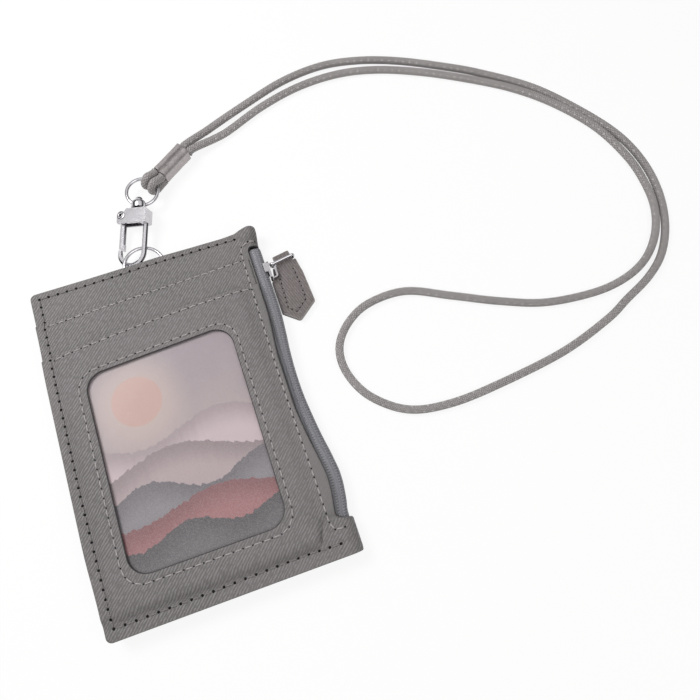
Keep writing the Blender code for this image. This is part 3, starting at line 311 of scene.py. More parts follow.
def turned(origin: Vector, heading: float = 0.0, pitch: float = 0.0, roll: float = 0.0) -> Matrix:
    """Frame of a piece, turned about Z, then tipped about X, then rolled about Y, in degrees.

    Args:
        origin: Place of the piece.
        heading: Turn about Z.
        pitch: Tip about X.
        roll: Roll about Y.

    Returns:
        The frame as a matrix.
    """
    turn = Matrix.Rotation(math.radians(heading), 4, "Z")
    tip = Matrix.Rotation(math.radians(pitch), 4, "X")
    lean = Matrix.Rotation(math.radians(roll), 4, "Y")
    return Matrix.Translation(origin) @ turn @ tip @ lean


# Meshes


@dataclass
class Shape:
    """Points, faces and flat coordinates of a mesh that is being made, in millimetres."""

    points: list[Vector] = field(default_factory=list)
    faces: list[tuple[int, ...]] = field(default_factory=list)
    flats: list[list[Point]] = field(default_factory=list)
    kinds: list[int] = field(default_factory=list)

    def add(self, face: Sequence[int], flat: Sequence[Point], kind: int = 0) -> None:
        """Adds one face with its flat coordinates and the number of its material.

        Args:
            face: Numbers of the face's points.
            flat: Flat coordinates of its corners.
            kind: Number of its material.
        """
        self.faces.append(tuple(face))
        self.flats.append(list(flat))
        self.kinds.append(kind)

    def tube(
        self, line: Sequence[Vector], radius: float, sides: int, closed: bool = False,
        swell: Callable[[float, float], float] | None = None, kind: int = 0,
        first_up: Vector | None = None,
    ) -> None:
        """Adds a round tube along a line.

        Args:
            line: Points of the tube's middle.
            radius: Radius of the tube.
            sides: Number of its flat sides.
            closed: Whether its last point joins its first.
            swell: Share of the radius at a length in millimetres and a share of the turn.
            kind: Number of its material.
            first_up: Direction from which the turn is counted at the first point.
        """
        count = len(line)
        start = len(self.points)
        up = first_up or Vector((0, 0, 1))
        length = 0.0
        lengths = []
        for i, point in enumerate(line):
            before = line[i - 1] if closed or i else point
            after = line[(i + 1) % count] if closed or i < count - 1 else point
            along = (after - before).normalized()
            up = (up - along * up.dot(along)).normalized()
            side = along.cross(up)
            if i:
                length += (point - line[i - 1]).length
            lengths.append(length)
            for k in range(sides):
                turn = 2 * math.pi * k / sides
                share = swell(length, k / sides) if swell else 1.0
                spoke = up * math.cos(turn) + side * math.sin(turn)
                self.points.append(point + spoke * (radius * share))
        rows = count if closed else count - 1
        for i in range(rows):
            here = start + i * sides
            there = start + ((i + 1) % count) * sides
            near = lengths[i] / FLAT_UNIT
            far = (lengths[i + 1] if i + 1 < count else length + (line[0] - line[-1]).length) / FLAT_UNIT
            for k in range(sides):
                n = (k + 1) % sides
                self.add(
                    (here + k, here + n, there + n, there + k),
                    ((near, k / sides), (near, (k + 1) / sides), (far, (k + 1) / sides), (far, k / sides)),
                    kind,
                )
        if not closed:
            for at, turn in ((start, -1), (start + (count - 1) * sides, 1)):
                ring = [at + k for k in range(sides)][::turn]
                self.add(ring, [(0.0, k / sides) for k in range(sides)], kind)

    def skin(self, rings: int, count: int, start: int = 0, outward: bool = True,
             closed: bool = False) -> None:
        """Joins rings of points, which follow each other, with faces side by side.

        Args:
            rings: How many rings there are.
            count: Points in each ring.
            start: Number of the first ring's first point.
            outward: Whether the faces look to the right of the way round the rings.
            closed: Whether the last ring joins the first.
        """
        for i in range(rings if closed else rings - 1):
            a = start + i * count
            b = start + (i + 1) % rings * count
            for k in range(count):
                n = (k + 1) % count
                face = (a + k, a + n, b + n, b + k) if outward else (a + k, b + k, b + n, a + n)
                self.add(face, [(0.0, 0.0)] * 4)

    def lid(self, numbers: Sequence[int]) -> None:
        """Adds one plain face over a ring of points."""
        self.add(numbers, [(0.0, 0.0)] * len(numbers))

    def dish(self, start: int, count: int) -> None:
        """Joins two rings and a middle point into the inside of a hole."""
        self.skin(2, count, start)
        for k in range(count):
            self.lid((start + count + k, start + count + (k + 1) % count, start + 2 * count))

    def build(
        self, name: str, body: Body, slot: str, materials: Sequence[Material],
        replaces: Sequence[str] = (),
    ) -> Piece:
        """Makes the object, gives it its body, and hides the nodes that it stands for.

        Args:
            name: Name of the piece.
            body: The body that it rides on.
            slot: Material slot of the record, which is not used.
            materials: Its materials in the order of the faces' numbers.
            replaces: Nodes of the frame that it stands for.

        Returns:
            The new object.
        """
        data = bpy.data.meshes.new(name)
        data.from_pydata([point * MM for point in self.points], [], self.faces)
        layer = data.uv_layers.new(name="flat")
        values: list[float] = []
        for flat in self.flats:
            for u, v in flat:
                values += (u, v)
        layer.data.foreach_set("uv", values)
        data.polygons.foreach_set("material_index", self.kinds)
        for material in materials:
            data.materials.append(material)
        data.shade_smooth()
        data.set_sharp_from_angle(angle=math.radians(50))
        data.update()
        thing = bpy.data.objects.new(name, data)
        bpy.context.scene.collection.objects.link(thing)
        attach(thing, body.value)
        if replaces:
            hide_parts(*replaces)
        LOG.info("%s: %d faces, rides on %s", name, len(self.faces), body.value)
        return thing


@dataclass
class Sheet:
    """A cut of leather or cloth laid on a curved face, with rounded edges.

    Attributes:
        place: Point of the face under flat coordinates, in millimetres.
        outline: The cut's edge, counterclockwise, in flat coordinates.
        holes: Openings in it, clockwise.
        low: Height of its underside over the face.
        high: Height of its upper side over the face.
        edge: Radius of its edges.
        step: Spacing of its points.
        spacing: Spacing along the first coordinate where it differs from the step.
        relief: Rise of the upper side over its even height.
        pits: Needle holes, whose surroundings get finer points.
        pit_radius: Radius of the needle holes.
    """

    place: Place
    outline: list[Point]
    holes: list[list[Point]] = field(default_factory=list)
    low: float = 0.0
    high: float = 0.9
    edge: float = 0.3
    step: float = 0.9
    spacing: Callable[[float], float] | None = None
    relief: Callable[[float, float], float] | None = None
    pits: list[Point] = field(default_factory=list)
    pit_radius: float = 0.38

    def base(self, s: float, y: float) -> tuple[Vector, Vector]:
        """Point of the face and its normal under flat coordinates.

        Args:
            s: First flat coordinate.
            y: Second flat coordinate.

        Returns:
            The point and its normal.
        """
        step = 0.05
        along = self.place(s + step, y) - self.place(s - step, y)
        up = self.place(s, y + step) - self.place(s, y - step)
        return self.place(s, y), along.cross(up).normalized()

    def at(self, s: float, y: float, height: float) -> Vector:
        """Point at a height over the sheet's upper side, its relief included.

        Args:
            s: First flat coordinate.
            y: Second flat coordinate.
            height: Height over the upper side.

        Returns:
            The point.
        """
        point, normal = self.base(s, y)
        rise = self.relief(s, y) if self.relief else 0.0
        return point + normal * (self.high + rise + height)

    def stations(self, low: float, high: float) -> list[float]:
        """Positions along the first coordinate at the sheet's spacing.

        Args:
            low: First position.
            high: Position that the last one reaches.

        Returns:
            The positions in order.
        """
        result = [low]
        while result[-1] < high:
            gap = self.spacing(result[-1]) if self.spacing else self.step
            result.append(result[-1] + gap)
        return result

    def inner_points(self, loops: Sequence[Sequence[Point]]) -> list[Point]:
        """Staggered points within the loops, clear of the edges and finer round the pits.

        Args:
            loops: The sheet's loops as they lie at its upper side.

        Returns:
            The points in flat coordinates.
        """
        rim = tree_of([point for loop in loops for point in loop])
        marks = tree_of(self.pits)
        result: list[Point] = []
        for x, y in self.pits:
            result.append((x, y))
            for radius, count in ((self.pit_radius, 8), (self.pit_radius * 1.75, 10)):
                for turn in turns_of(count, 0.5):
                    point = (x + radius * math.cos(turn), y + radius * math.sin(turn))
                    if rim.find((*point, 0.0))[2] > 0.2:
                        result.append(point)
        low = min(p[0] for p in loops[0])
        high = max(p[0] for p in loops[0])
        stations = self.stations(low, high)
        between = [(a + b) / 2 for a, b in zip(stations, stations[1:])]
        y = min(p[1] for p in loops[0]) + self.step / 2
        top = max(p[1] for p in loops[0])
        row = 0
        while y < top:
            cuts: list[float] = []
            for loop in loops:
                for (xa, ya), (xb, yb) in zip(loop, [*loop[1:], loop[0]]):
                    if (ya > y) != (yb > y):
                        cuts.append(xa + (y - ya) * (xb - xa) / (yb - ya))
            cuts.sort()
            spans = list(zip(cuts[::2], cuts[1::2]))
            for x in (between if row % 2 else stations):
                if not any(a < x < b for a, b in spans):
                    continue
                if rim.find((x, y, 0.0))[2] < 0.45 * self.step:
                    continue
                if self.pits and marks.find((x, y, 0.0))[2] < 2.3 * self.pit_radius:
                    continue
                result.append((x, y))
            y += self.step * 0.87
            row += 1
        return result

    def shape(self) -> Shape:
        """The sheet's mesh: upper side 0, outer edge 1, underside 2, edges of openings 3.

        Returns:
            The mesh, not yet built.
        """
        loops = [densified(loop, 0.7 * self.step) for loop in [self.outline, *self.holes]]
        rims = [moved_in(loop, self.edge) for loop in loops]
        points: list[Point] = []
        sides: list[tuple[int, int]] = []
        starts: list[int] = []
        for rim in rims:
            starts.append(len(points))
            sides += [(starts[-1] + i, starts[-1] + (i + 1) % len(rim)) for i in range(len(rim))]
            points += rim
        rim_count = len(points)
        points += self.inner_points(rims)
        found = delaunay_2d_cdt([Vector(p) for p in points], sides, [], 0, 1e-6)
        flat = [tuple(p) for p in found[0]]
        where = {old: new for new, olds in enumerate(found[3]) for old in olds}
        on_rim = {where[i] for i in range(rim_count)}
        shape = Shape()
        size = len(flat)
        bases = [self.base(*p) for p in flat]
        for (point, normal), (s, y) in zip(bases, flat):
            rise = self.relief(s, y) if self.relief else 0.0
            shape.points.append(point + normal * (self.high + rise))
        for point, normal in bases:
            shape.points.append(point + normal * self.low)
        for face in found[2]:
            a, b, c = face
            pa, pb, pc = flat[a], flat[b], flat[c]
            turn = (pb[0] - pa[0]) * (pc[1] - pa[1]) - (pb[1] - pa[1]) * (pc[0] - pa[0])
            if turn < 0:
                a, b, c = a, c, b
            if on_rim.issuperset((a, b, c)):
                middle = tuple((flat[a][k] + flat[b][k] + flat[c][k]) / 3 for k in range(2))
                if not inside(middle, rims):
                    continue
            uv = [(flat[i][0] / FLAT_UNIT, flat[i][1] / FLAT_UNIT) for i in (a, b, c)]
            shape.add((a, b, c), uv, 0)
            shape.add((a + size, c + size, b + size), [uv[0], uv[2], uv[1]], 2)
        for number, (loop, start) in enumerate(zip(loops, starts)):
            top = [where[start + i] for i in range(len(loop))]
            self.wall(shape, loop, top, size, 3 if number else 1)
        return shape

    def wall(self, shape: Shape, loop: Sequence[Point], top: list[int], size: int, kind: int) -> None:
        """Adds the rounded edge along one loop.

        Args:
            shape: The mesh being made.
            loop: The loop at the cut's full size.
            top: The upper side's point numbers along it.
            size: How much higher the underside's point numbers are.
            kind: Number of its material.
        """
        rings = [top]
        depths = [0.0]
        for level, way in ((self.high, -1), (self.low, 1)):
            angles = (30, 60, 90) if way < 0 else (90, 60, 30)
            for angle in angles:
                turn = math.radians(angle)
                cut = moved_in(loop, self.edge * (1 - math.sin(turn)))
                height = level + way * self.edge * (1 - math.cos(turn))
                ring = []
                for s, y in cut:
                    point, normal = self.base(s, y)
                    ring.append(len(shape.points))
                    shape.points.append(point + normal * height)
                rings.append(ring)
                depths.append((self.high - height) / FLAT_UNIT)
        rings.append([i + size for i in top])
        depths.append((self.high - self.low) / FLAT_UNIT)
        far = [0.0]
        for i, here in enumerate(loop):
            far.append(far[-1] + math.dist(here, loop[(i + 1) % len(loop)]) / FLAT_UNIT)
        for k, (upper, lower) in enumerate(zip(rings, rings[1:])):
            for i in range(len(loop)):
                n = (i + 1) % len(loop)
                uv = (
                    (far[i], depths[k]), (far[i], depths[k + 1]),
                    (far[i + 1], depths[k + 1]), (far[i + 1], depths[k]),
                )
                shape.add((upper[i], lower[i], lower[n], upper[n]), uv, kind)


@dataclass
class Profile:
    """A line in an upright plane, along which a sheet is bent.

    Attributes:
        line: Its points.
    """

    line: list[Point]

    def __post_init__(self) -> None:
        """Measures the line."""
        self.lengths = lengths_along(self.line)

    @property
    def long(self) -> float:
        """Whole length of the line."""
        return self.lengths[-1]

    def at(self, length: float) -> Point:
        """Point at a length along the line, straight on beyond its ends.

        Args:
            length: Length from the line's start.

        Returns:
            The point.
        """
        index = 0
        while index < len(self.line) - 2 and self.lengths[index + 1] < length:
            index += 1
        gap = self.lengths[index + 1] - self.lengths[index]
        return between(self.line[index], self.line[index + 1], (length - self.lengths[index]) / gap)


# Shader nodes


class Graph:
    """Adds nodes to one node tree and joins them."""

    def __init__(self, tree: Tree) -> None:
        """Starts on a tree."""
        self.tree = tree

    def add(
        self, kind: str, inputs: dict[str | int, object] | None = None, **settings: object
    ) -> Node:
        """Adds a node.

        Args:
            kind: Its type.
            inputs: Values or sockets for its inputs, by name or number.
            **settings: Its other settings.

        Returns:
            The new node.
        """
        node = self.tree.nodes.new(kind)
        for name, value in settings.items():
            setattr(node, name, value)
        for name, value in (inputs or {}).items():
            self.feed(node.inputs[name], value)
        return node

    def feed(self, socket: Socket, value: object) -> None:
        """Joins a socket to another or sets its value.

        Args:
            socket: The socket to feed.
            value: A socket, a node or a plain value.
        """
        if isinstance(value, Node):
            value = value.outputs[0]
        if isinstance(value, Socket):
            self.tree.links.new(value, socket)
        else:
            socket.default_value = value

    def calc(self, operation: str, *values: object) -> Socket:
        """One step of arithmetic on numbers."""
        return self.add("ShaderNodeMath", dict(enumerate(values)), operation=operation).outputs[0]

    def plus(self, first: object, second: object) -> Socket:
        """The sum of two numbers."""
        return self.calc("ADD", first, second)

    def less(self, first: object, second: object) -> Socket:
        """The first number less the second."""
        return self.calc("SUBTRACT", first, second)

    def times(self, first: object, second: object) -> Socket:
        """The product of two numbers."""
        return self.calc("MULTIPLY", first, second)

    def times_plus(self, first: object, second: object, more: object) -> Socket:
        """The product of two numbers, plus a third."""
        return self.calc("MULTIPLY_ADD", first, second, more)

    def sine(self, angle: object) -> Socket:
        """The sine of an angle in radians."""
        return self.calc("SINE", angle)

    def absolute(self, value: object) -> Socket:
        """A number without its sign."""
        return self.calc("ABSOLUTE", value)

    def scaled(self, vector: object, factors: tuple[float, float, float]) -> Socket:
        """A vector times a factor along each axis."""
        node = self.add("ShaderNodeVectorMath", {0: vector, 1: factors}, operation="MULTIPLY")
        return node.outputs[0]

    def split(self, vector: object) -> tuple[Socket, Socket]:
        """The first two parts of a vector."""
        node = self.add("ShaderNodeSeparateXYZ", {0: vector})
        return node.outputs[0], node.outputs[1]

    def noise(
        self, vector: object, scale: float = 1.0, detail: float = 2.0, rough: float = 0.5
    ) -> Socket:
        """Soft noise, about 0 to 1."""
        values = {"Vector": vector, "Scale": scale, "Detail": detail, "Roughness": rough}
        return self.add("ShaderNodeTexNoise", values).outputs[0]

    def span(
        self, value: object, low: float, high: float, start: float = 0.0, end: float = 1.0
    ) -> Socket:
        """Maps low to high smoothly onto start to end."""
        values = {"Value": value, "From Min": low, "From Max": high, "To Min": start, "To Max": end}
        return self.add("ShaderNodeMapRange", values, interpolation_type="SMOOTHSTEP").outputs[0]

    def blend(self, factor: object, first: object, second: object) -> Socket:
        """A mix of two colours.

        Args:
            factor: Share of the second colour.
            first: First colour.
            second: Second colour.

        Returns:
            Socket of the mixed colour.
        """
        node = self.add("ShaderNodeMix", data_type="RGBA")
        values = [
            (*v, 1.0) if isinstance(v, tuple) and len(v) == 3 else v for v in (first, second)
        ]
        self.feed(node.inputs[0], factor)
        self.feed(node.inputs[6], values[0])
        self.feed(node.inputs[7], values[1])
        return node.outputs[2]

    def bump(self, height: object, depth: float) -> Socket:
        """A normal from a height whose full range is a depth in millimetres."""
        values = {"Height": height, "Distance": depth * MM, "Strength": 1.0}
        return self.add("ShaderNodeBump", values).outputs[0]

    def flat(self) -> Socket:
        """Flat coordinates of a sheet or tube in millimetres, for a tube its turn as it is."""
        return self.scaled(self.add("ShaderNodeUVMap", uv_map="flat"), (FLAT_UNIT, FLAT_UNIT, 1.0))

    def turns(self) -> Socket:
        """Length along a tube in millimetres and the share of its turn."""
        return self.scaled(self.add("ShaderNodeUVMap", uv_map="flat"), (FLAT_UNIT, 1.0, 1.0))

    def local(self) -> Socket:
        """The piece's own coordinates in millimetres."""
        node = self.add("ShaderNodeTexCoord")
        return self.scaled(node.outputs["Object"], (1000.0, 1000.0, 1000.0))


class Effect(Enum):
    """Node groups that several finishes use."""

    GRAIN = "pressed_grain"
    CLOTH = "woven_cloth"
    BRAID = "braided_cover"
    SOIL = "wear_and_dust"


class Effects:
    """Makes each shared node group once."""

    def __init__(self) -> None:
        """Starts with none made."""
        self.made: dict[Effect, Tree] = {}

    def tree(self, effect: Effect) -> Tree:
        """The node group of an effect.

        Args:
            effect: The effect.

        Returns:
            The node group.
        """
        if effect not in self.made:
            makers = {
                Effect.GRAIN: self.make_grain, Effect.CLOTH: self.make_cloth,
                Effect.BRAID: self.make_braid, Effect.SOIL: self.make_soil,
            }
            self.made[effect] = makers[effect]()
        return self.made[effect]

    def use(self, graph: Graph, effect: Effect, **inputs: object) -> Node:
        """Places an effect's group in a material.

        Args:
            graph: The material's graph.
            effect: The effect.
            **inputs: Its input values or sockets by name.

        Returns:
            The group node.
        """
        node = graph.add("ShaderNodeGroup", node_tree=self.tree(effect))
        for name, value in inputs.items():
            graph.feed(node.inputs[name], value)
        return node

    def start(
        self, effect: Effect, numbers: dict[str, float], outputs: Sequence[str]
    ) -> tuple[Graph, Node, Node]:
        """Starts a group with a vector input, number inputs and number outputs.

        Args:
            effect: The effect.
            numbers: Name and default of each number input.
            outputs: Names of the outputs.

        Returns:
            The group's graph, its input node and its output node.
        """
        tree = bpy.data.node_groups.new(effect.value, "ShaderNodeTree")
        tree.interface.new_socket("Place", in_out="INPUT", socket_type="NodeSocketVector")
        for name, value in numbers.items():
            socket = tree.interface.new_socket(name, in_out="INPUT", socket_type="NodeSocketFloat")
            socket.default_value = value
        for name in outputs:
            tree.interface.new_socket(name, in_out="OUTPUT", socket_type="NodeSocketFloat")
        graph = Graph(tree)
        return graph, graph.add("NodeGroupInput"), graph.add("NodeGroupOutput")

    def make_grain(self) -> Tree:
        """Fine broken ridges that run at a slant over pressed leather.

        Returns:
            The node group.
        """
        graph, start, end = self.start(
            Effect.GRAIN, {"Pitch": 0.87, "Slant": math.radians(45)}, ("Height", "Tone")
        )
        place = start.outputs["Place"]
        angle = graph.times(start.outputs["Slant"], -1.0)
        slanted = graph.add(
            "ShaderNodeVectorRotate", {"Vector": place, "Angle": angle},
            rotation_type="Z_AXIS",
        )
        across = graph.split(slanted)[1]
        waver = graph.noise(graph.scaled(slanted, (0.22, 0.55, 1.0)), 1.0, 3.0)
        lines = graph.calc("DIVIDE", across, start.outputs["Pitch"])
        lines = graph.plus(lines, graph.times(graph.less(waver, 0.5), 0.9))
        wave = graph.sine(graph.times(lines, 2 * math.pi))
        ridge = graph.times_plus(wave, 0.5, 0.5)
        breaks = graph.span(graph.noise(graph.scaled(slanted, (0.75, 1.60, 1.0)), 1.0, 1.0), 0.36, 0.60)
        fine = graph.noise(place, 2.6, 2.0)
        height = graph.times(ridge, graph.times_plus(breaks, 0.72, 0.28))
        height = graph.times_plus(fine, 0.55, height)
        graph.feed(end.inputs["Height"], height)
        graph.feed(end.inputs["Tone"], graph.span(height, 0.18, 1.12))
        return graph.tree

    def make_cloth(self) -> Tree:
        """Plain weave of two sets of threads.

        Returns:
            The node group.
        """
        graph, start, end = self.start(Effect.CLOTH, {"Thread": 0.4}, ("Height", "Tone"))
        place = start.outputs["Place"]
        x, y = graph.split(place)
        turn = graph.calc("DIVIDE", math.pi, start.outputs["Thread"])
        first = graph.sine(graph.times(x, turn))
        second = graph.sine(graph.times(y, turn))
        over = graph.times(first, second)
        height = graph.times_plus(over, 0.5, 0.5)
        slub = graph.noise(place, 1.3, 3.0)
        graph.feed(end.inputs["Height"], graph.times_plus(slub, 0.3, height))
        graph.feed(end.inputs["Tone"], graph.span(graph.plus(height, slub), 0.5, 1.5))
        return graph.tree

    def make_braid(self) -> Tree:
        """Crossing strands of a round braid, with rows of paler stitches in it.

        Returns:
            The node group.
        """
        graph, start, end = self.start(
            Effect.BRAID, {"Strands": 8.0, "Lay": 3.4, "Fleck_Pitch": 2.7}, ("Height", "Tone", "Fleck")
        )
        place = start.outputs["Place"]
        along, turn = graph.split(place)
        around = graph.times(turn, start.outputs["Strands"])
        forward = graph.calc("DIVIDE", along, start.outputs["Lay"])
        forward = graph.times(forward, 4.0)
        left = graph.sine(graph.times(graph.plus(around, forward), math.pi))
        right = graph.sine(graph.times(graph.less(around, forward), math.pi))
        cross = graph.times(graph.absolute(left), graph.absolute(right))
        fuzz = graph.noise(graph.scaled(place, (2.2, 14.0, 1.0)), 1.0, 2.0)
        graph.feed(end.inputs["Height"], graph.times_plus(fuzz, 0.35, cross))
        graph.feed(end.inputs["Tone"], graph.span(graph.plus(cross, fuzz), 0.35, 1.25))
        rows = graph.times(turn, 4.0)
        row = graph.calc("FLOOR", rows)
        step = graph.calc("DIVIDE", along, start.outputs["Fleck_Pitch"])
        step = graph.times_plus(row, 0.5, step)
        far = graph.times(graph.less(graph.calc("FRACT", step), 0.5), 3.4)
        aside = graph.times(graph.less(graph.calc("FRACT", rows), 0.5), 4.6)
        spot = graph.plus(graph.absolute(far), graph.absolute(aside))
        uneven = graph.noise(graph.scaled(place, (0.75, 5.0, 1.0)), 1.0, 1.0)
        patches = graph.span(uneven, 0.30, 0.60, 0.25)
        fleck = graph.times(graph.span(spot, 0.35, 1.0, 1.0, 0.0), patches)
        graph.feed(end.inputs["Fleck"], fleck)
        return graph.tree

    def make_soil(self) -> Tree:
        """Broad uneven colour, specks of dust and short fine scratches.

        Returns:
            The node group.
        """
        graph, start, end = self.start(Effect.SOIL, {"Broad": 0.05}, ("Mottle", "Dust", "Scratch"))
        place = start.outputs["Place"]
        broad = graph.add("ShaderNodeVectorMath", {0: place}, operation="SCALE")
        graph.feed(broad.inputs["Scale"], start.outputs["Broad"])
        graph.feed(end.inputs["Mottle"], graph.noise(broad, 1.0, 4.0, 0.6))
        specks = graph.noise(place, 1.9, 2.0)
        graph.feed(end.inputs["Dust"], graph.span(specks, 0.66, 0.78))
        long = graph.scaled(place, (0.35, 5.0, 5.0))
        graph.feed(end.inputs["Scratch"], graph.span(graph.noise(long, 1.0, 3.0), 0.5, 0.72))
        return graph.tree


EFFECTS = Effects()


@dataclass(frozen=True)
class Finish:
    """A named finish with its own material."""

    name: str

    def make(self) -> Material:
        """Makes the material.

        Returns:
            The finished material.
        """
        material = bpy.data.materials.new(self.name)
        material.use_nodes = True
        graph = Graph(material.node_tree)
        self.paint(graph, graph.tree.nodes["Principled BSDF"])
        return material

    def paint(self, graph: Graph, shader: Node) -> None:
        """Lays out the nodes, which each finish does in its own way."""
        raise NotImplementedError

    @staticmethod
    def coat(
        graph: Graph, shader: Node, colour: object, rough: object, normal: object | None = None
    ) -> None:
        """Joins a colour, a roughness and, where there is one, a normal to the shader.

        Args:
            graph: Nodes of the material.
            shader: Its Principled BSDF.
            colour: Base colour.
            rough: Roughness.
            normal: Normal, if the finish has one.
        """
        graph.feed(shader.inputs["Base Color"], colour)
        graph.feed(shader.inputs["Roughness"], rough)
        if normal is not None:
            graph.feed(shader.inputs["Normal"], normal)


@dataclass(frozen=True)
class LeatherFinish(Finish):
    """Grey leather with pressed slanting grain.

    Attributes:
        pale: Colour of the ridges.
        dark: Colour of the grooves.
        pitch: Distance between ridges.
        slant: Direction of the ridges in degrees.
        depth: Depth of the grain.
        turned_edge: Whether the sheet has a smooth turned edge along the zip's slot.
    """

    pale: Colour = (0.262, 0.246, 0.247)
    dark: Colour = (0.142, 0.132, 0.132)
    pitch: float = 0.80
    slant: float = 45.0
    depth: float = 0.06
    turned_edge: bool = False

    def paint(self, graph: Graph, shader: Node) -> None:
        """Lays out its nodes.

        Args:
            graph: Nodes of the material.
            shader: Its Principled BSDF.
        """
        flat = graph.flat()
        grain = EFFECTS.use(
            graph, Effect.GRAIN, Place=flat, Pitch=self.pitch, Slant=math.radians(self.slant)
        )
        soil = EFFECTS.use(graph, Effect.SOIL, Place=graph.local(), Broad=0.045)
        tone = grain.outputs["Tone"]
        height = grain.outputs["Height"]
        if self.turned_edge:
            smooth_part = self.edge_mask(graph, flat)
            flatter = graph.times_plus(smooth_part, -0.8, 1.0)
            tone = graph.times_plus(graph.less(tone, 0.42), flatter, 0.42)
            height = graph.times(height, flatter)
        colour = graph.blend(tone, self.dark, self.pale)
        warm = tuple(v * f for v, f in zip(self.pale, (1.02, 0.97, 0.98)))
        mottle = graph.span(soil.outputs["Mottle"], 0.35, 0.7, 0.0, 0.30)
        colour = graph.blend(mottle, colour, warm)
        colour = graph.blend(graph.times(soil.outputs["Dust"], 0.10), colour, (0.42, 0.40, 0.39))
        shader.inputs["Specular IOR Level"].default_value = 0.40
        self.coat(
            graph, shader, colour,
            graph.span(grain.outputs["Height"], 0.0, 1.2, 0.72, 0.50), graph.bump(height, self.depth),
        )

    @staticmethod
    def edge_mask(graph: Graph, flat: Socket) -> Socket:
        """Part of the body's sheet that is turned in along the zip's slot.

        Args:
            graph: The material's graph.
            flat: Flat coordinates in millimetres.

        Returns:
            The mask, 1 on the turned edge.
        """
        s, y = graph.split(flat)
        middle = (Holder.slot_edge + Holder.slot_far) / 2
        half = (Holder.slot_far - Holder.slot_edge) / 2
        aside = graph.absolute(graph.less(s, middle))
        near = graph.span(aside, half + 1.9, half + 2.5, 1.0, 0.0)
        ends = graph.times(graph.span(y, -45.0, -44.0), graph.span(y, 50.2, 49.2))
        return graph.times(near, ends)


@dataclass(frozen=True)
class EdgeFinish(Finish):
    """Cut and painted edge of the leather, with the layers just showing.

    Attributes:
        colour: Its colour.
        line: Colour of the line between layers.
        thick: Thickness of the sheet.
    """

    colour: Colour = (0.165, 0.155, 0.150)
    line: Colour = (0.30, 0.285, 0.28)
    thick: float = 0.9

    def paint(self, graph: Graph, shader: Node) -> None:
        """Lays out its nodes.

        Args:
            graph: Nodes of the material.
            shader: Its Principled BSDF.
        """
        flat = graph.flat()
        depth = graph.split(flat)[1]
        rough = graph.noise(graph.scaled(flat, (1.2, 5.0, 1.0)), 1.0, 3.0)
        near = graph.absolute(graph.less(depth, self.thick * 0.45))
        layer = graph.span(near, 0.0, self.thick * 0.22, 0.55, 0.0)
        colour = graph.blend(graph.span(rough, 0.3, 0.7, 0.0, 0.45), self.colour, self.line)
        colour = graph.blend(layer, colour, self.line)
        self.coat(graph, shader, colour, graph.span(rough, 0.2, 0.8, 0.55, 0.75), graph.bump(rough, 0.05))


@dataclass(frozen=True)
class ClothFinish(Finish):
    """Woven cloth, such as the zip's tape, the linings and the leather's backing.

    Attributes:
        pale: Colour of its raised threads.
        dark: Colour between them.
        thread: Width of a thread.
        depth: Depth of the weave.
    """

    pale: Colour = (0.10, 0.10, 0.11)
    dark: Colour = (0.03, 0.03, 0.035)
    thread: float = 0.30
    depth: float = 0.06

    def paint(self, graph: Graph, shader: Node) -> None:
        """Lays out its nodes.

        Args:
            graph: Nodes of the material.
            shader: Its Principled BSDF.
        """
        weave = EFFECTS.use(graph, Effect.CLOTH, Place=graph.flat(), Thread=self.thread)
        soil = EFFECTS.use(graph, Effect.SOIL, Place=graph.local(), Broad=0.08)
        colour = graph.blend(weave.outputs["Tone"], self.dark, self.pale)
        lint = graph.times(soil.outputs["Dust"], 0.25)
        colour = graph.blend(lint, colour, tuple(min(1.0, v * 2.2) for v in self.pale))
        shader.inputs["Sheen Weight"].default_value = 0.15
        height = weave.outputs["Height"]
        rough = graph.span(height, 0.0, 1.0, 0.95, 0.8)
        self.coat(graph, shader, colour, rough, graph.bump(height, self.depth))


@dataclass(frozen=True)
class TapeFinish(Finish):
    """The zip's tape: lengthwise ribs with a row of short stitches and two dotted rows of painted shade.

    Attributes:
        pale: Colour of its ribs.
        dark: Colour between them.
        stitch: Colour of its stitches.
        shade: Colour of the dark rows along its fold, painted shade of the gaps between the coil's turns.
    """

    pale: Colour = (0.345, 0.345, 0.375)
    dark: Colour = (0.165, 0.165, 0.180)
    stitch: Colour = (0.50, 0.49, 0.51)
    shade: Colour = (0.030, 0.030, 0.035)

    def paint(self, graph: Graph, shader: Node) -> None:
        """Lays out its nodes.

        Args:
            graph: Nodes of the material.
            shader: Its Principled BSDF.
        """
        flat = graph.flat()
        across, along = graph.split(flat)
        weave = EFFECTS.use(graph, Effect.CLOTH, Place=flat, Thread=0.26)
        rib = graph.sine(graph.times(across, 2 * math.pi / RIB_PITCH))
        rib = graph.times_plus(rib, 0.5, 0.5)
        height = graph.times_plus(weave.outputs["Height"], 0.45, rib)
        tone = graph.times_plus(rib, 0.35, graph.times(weave.outputs["Tone"], 0.65))
        colour = graph.blend(tone, self.dark, self.pale)
        beat = graph.sine(graph.times(along, 2 * math.pi / 0.85))
        # One pale row of stitching, then two near-black dotted rows of painted shade in the gaps at the
        # fold.
        rows = ((6.05, 0.16, self.stitch), (7.75, 0.10, self.shade), (8.5, 0.12, self.shade))
        for centre, half, ink in rows:
            near = graph.absolute(graph.less(across, centre))
            row = graph.span(near, half, half + 0.18, 1.0, 0.0)
            mark = graph.times(row, graph.span(beat, -0.2, 0.6))
            colour = graph.blend(graph.times(mark, 0.70), colour, ink)
        shader.inputs["Sheen Weight"].default_value = 0.2
        self.coat(
            graph, shader, colour,
            graph.span(weave.outputs["Height"], 0.0, 1.0, 0.9, 0.7), graph.bump(height, 0.09),
        )


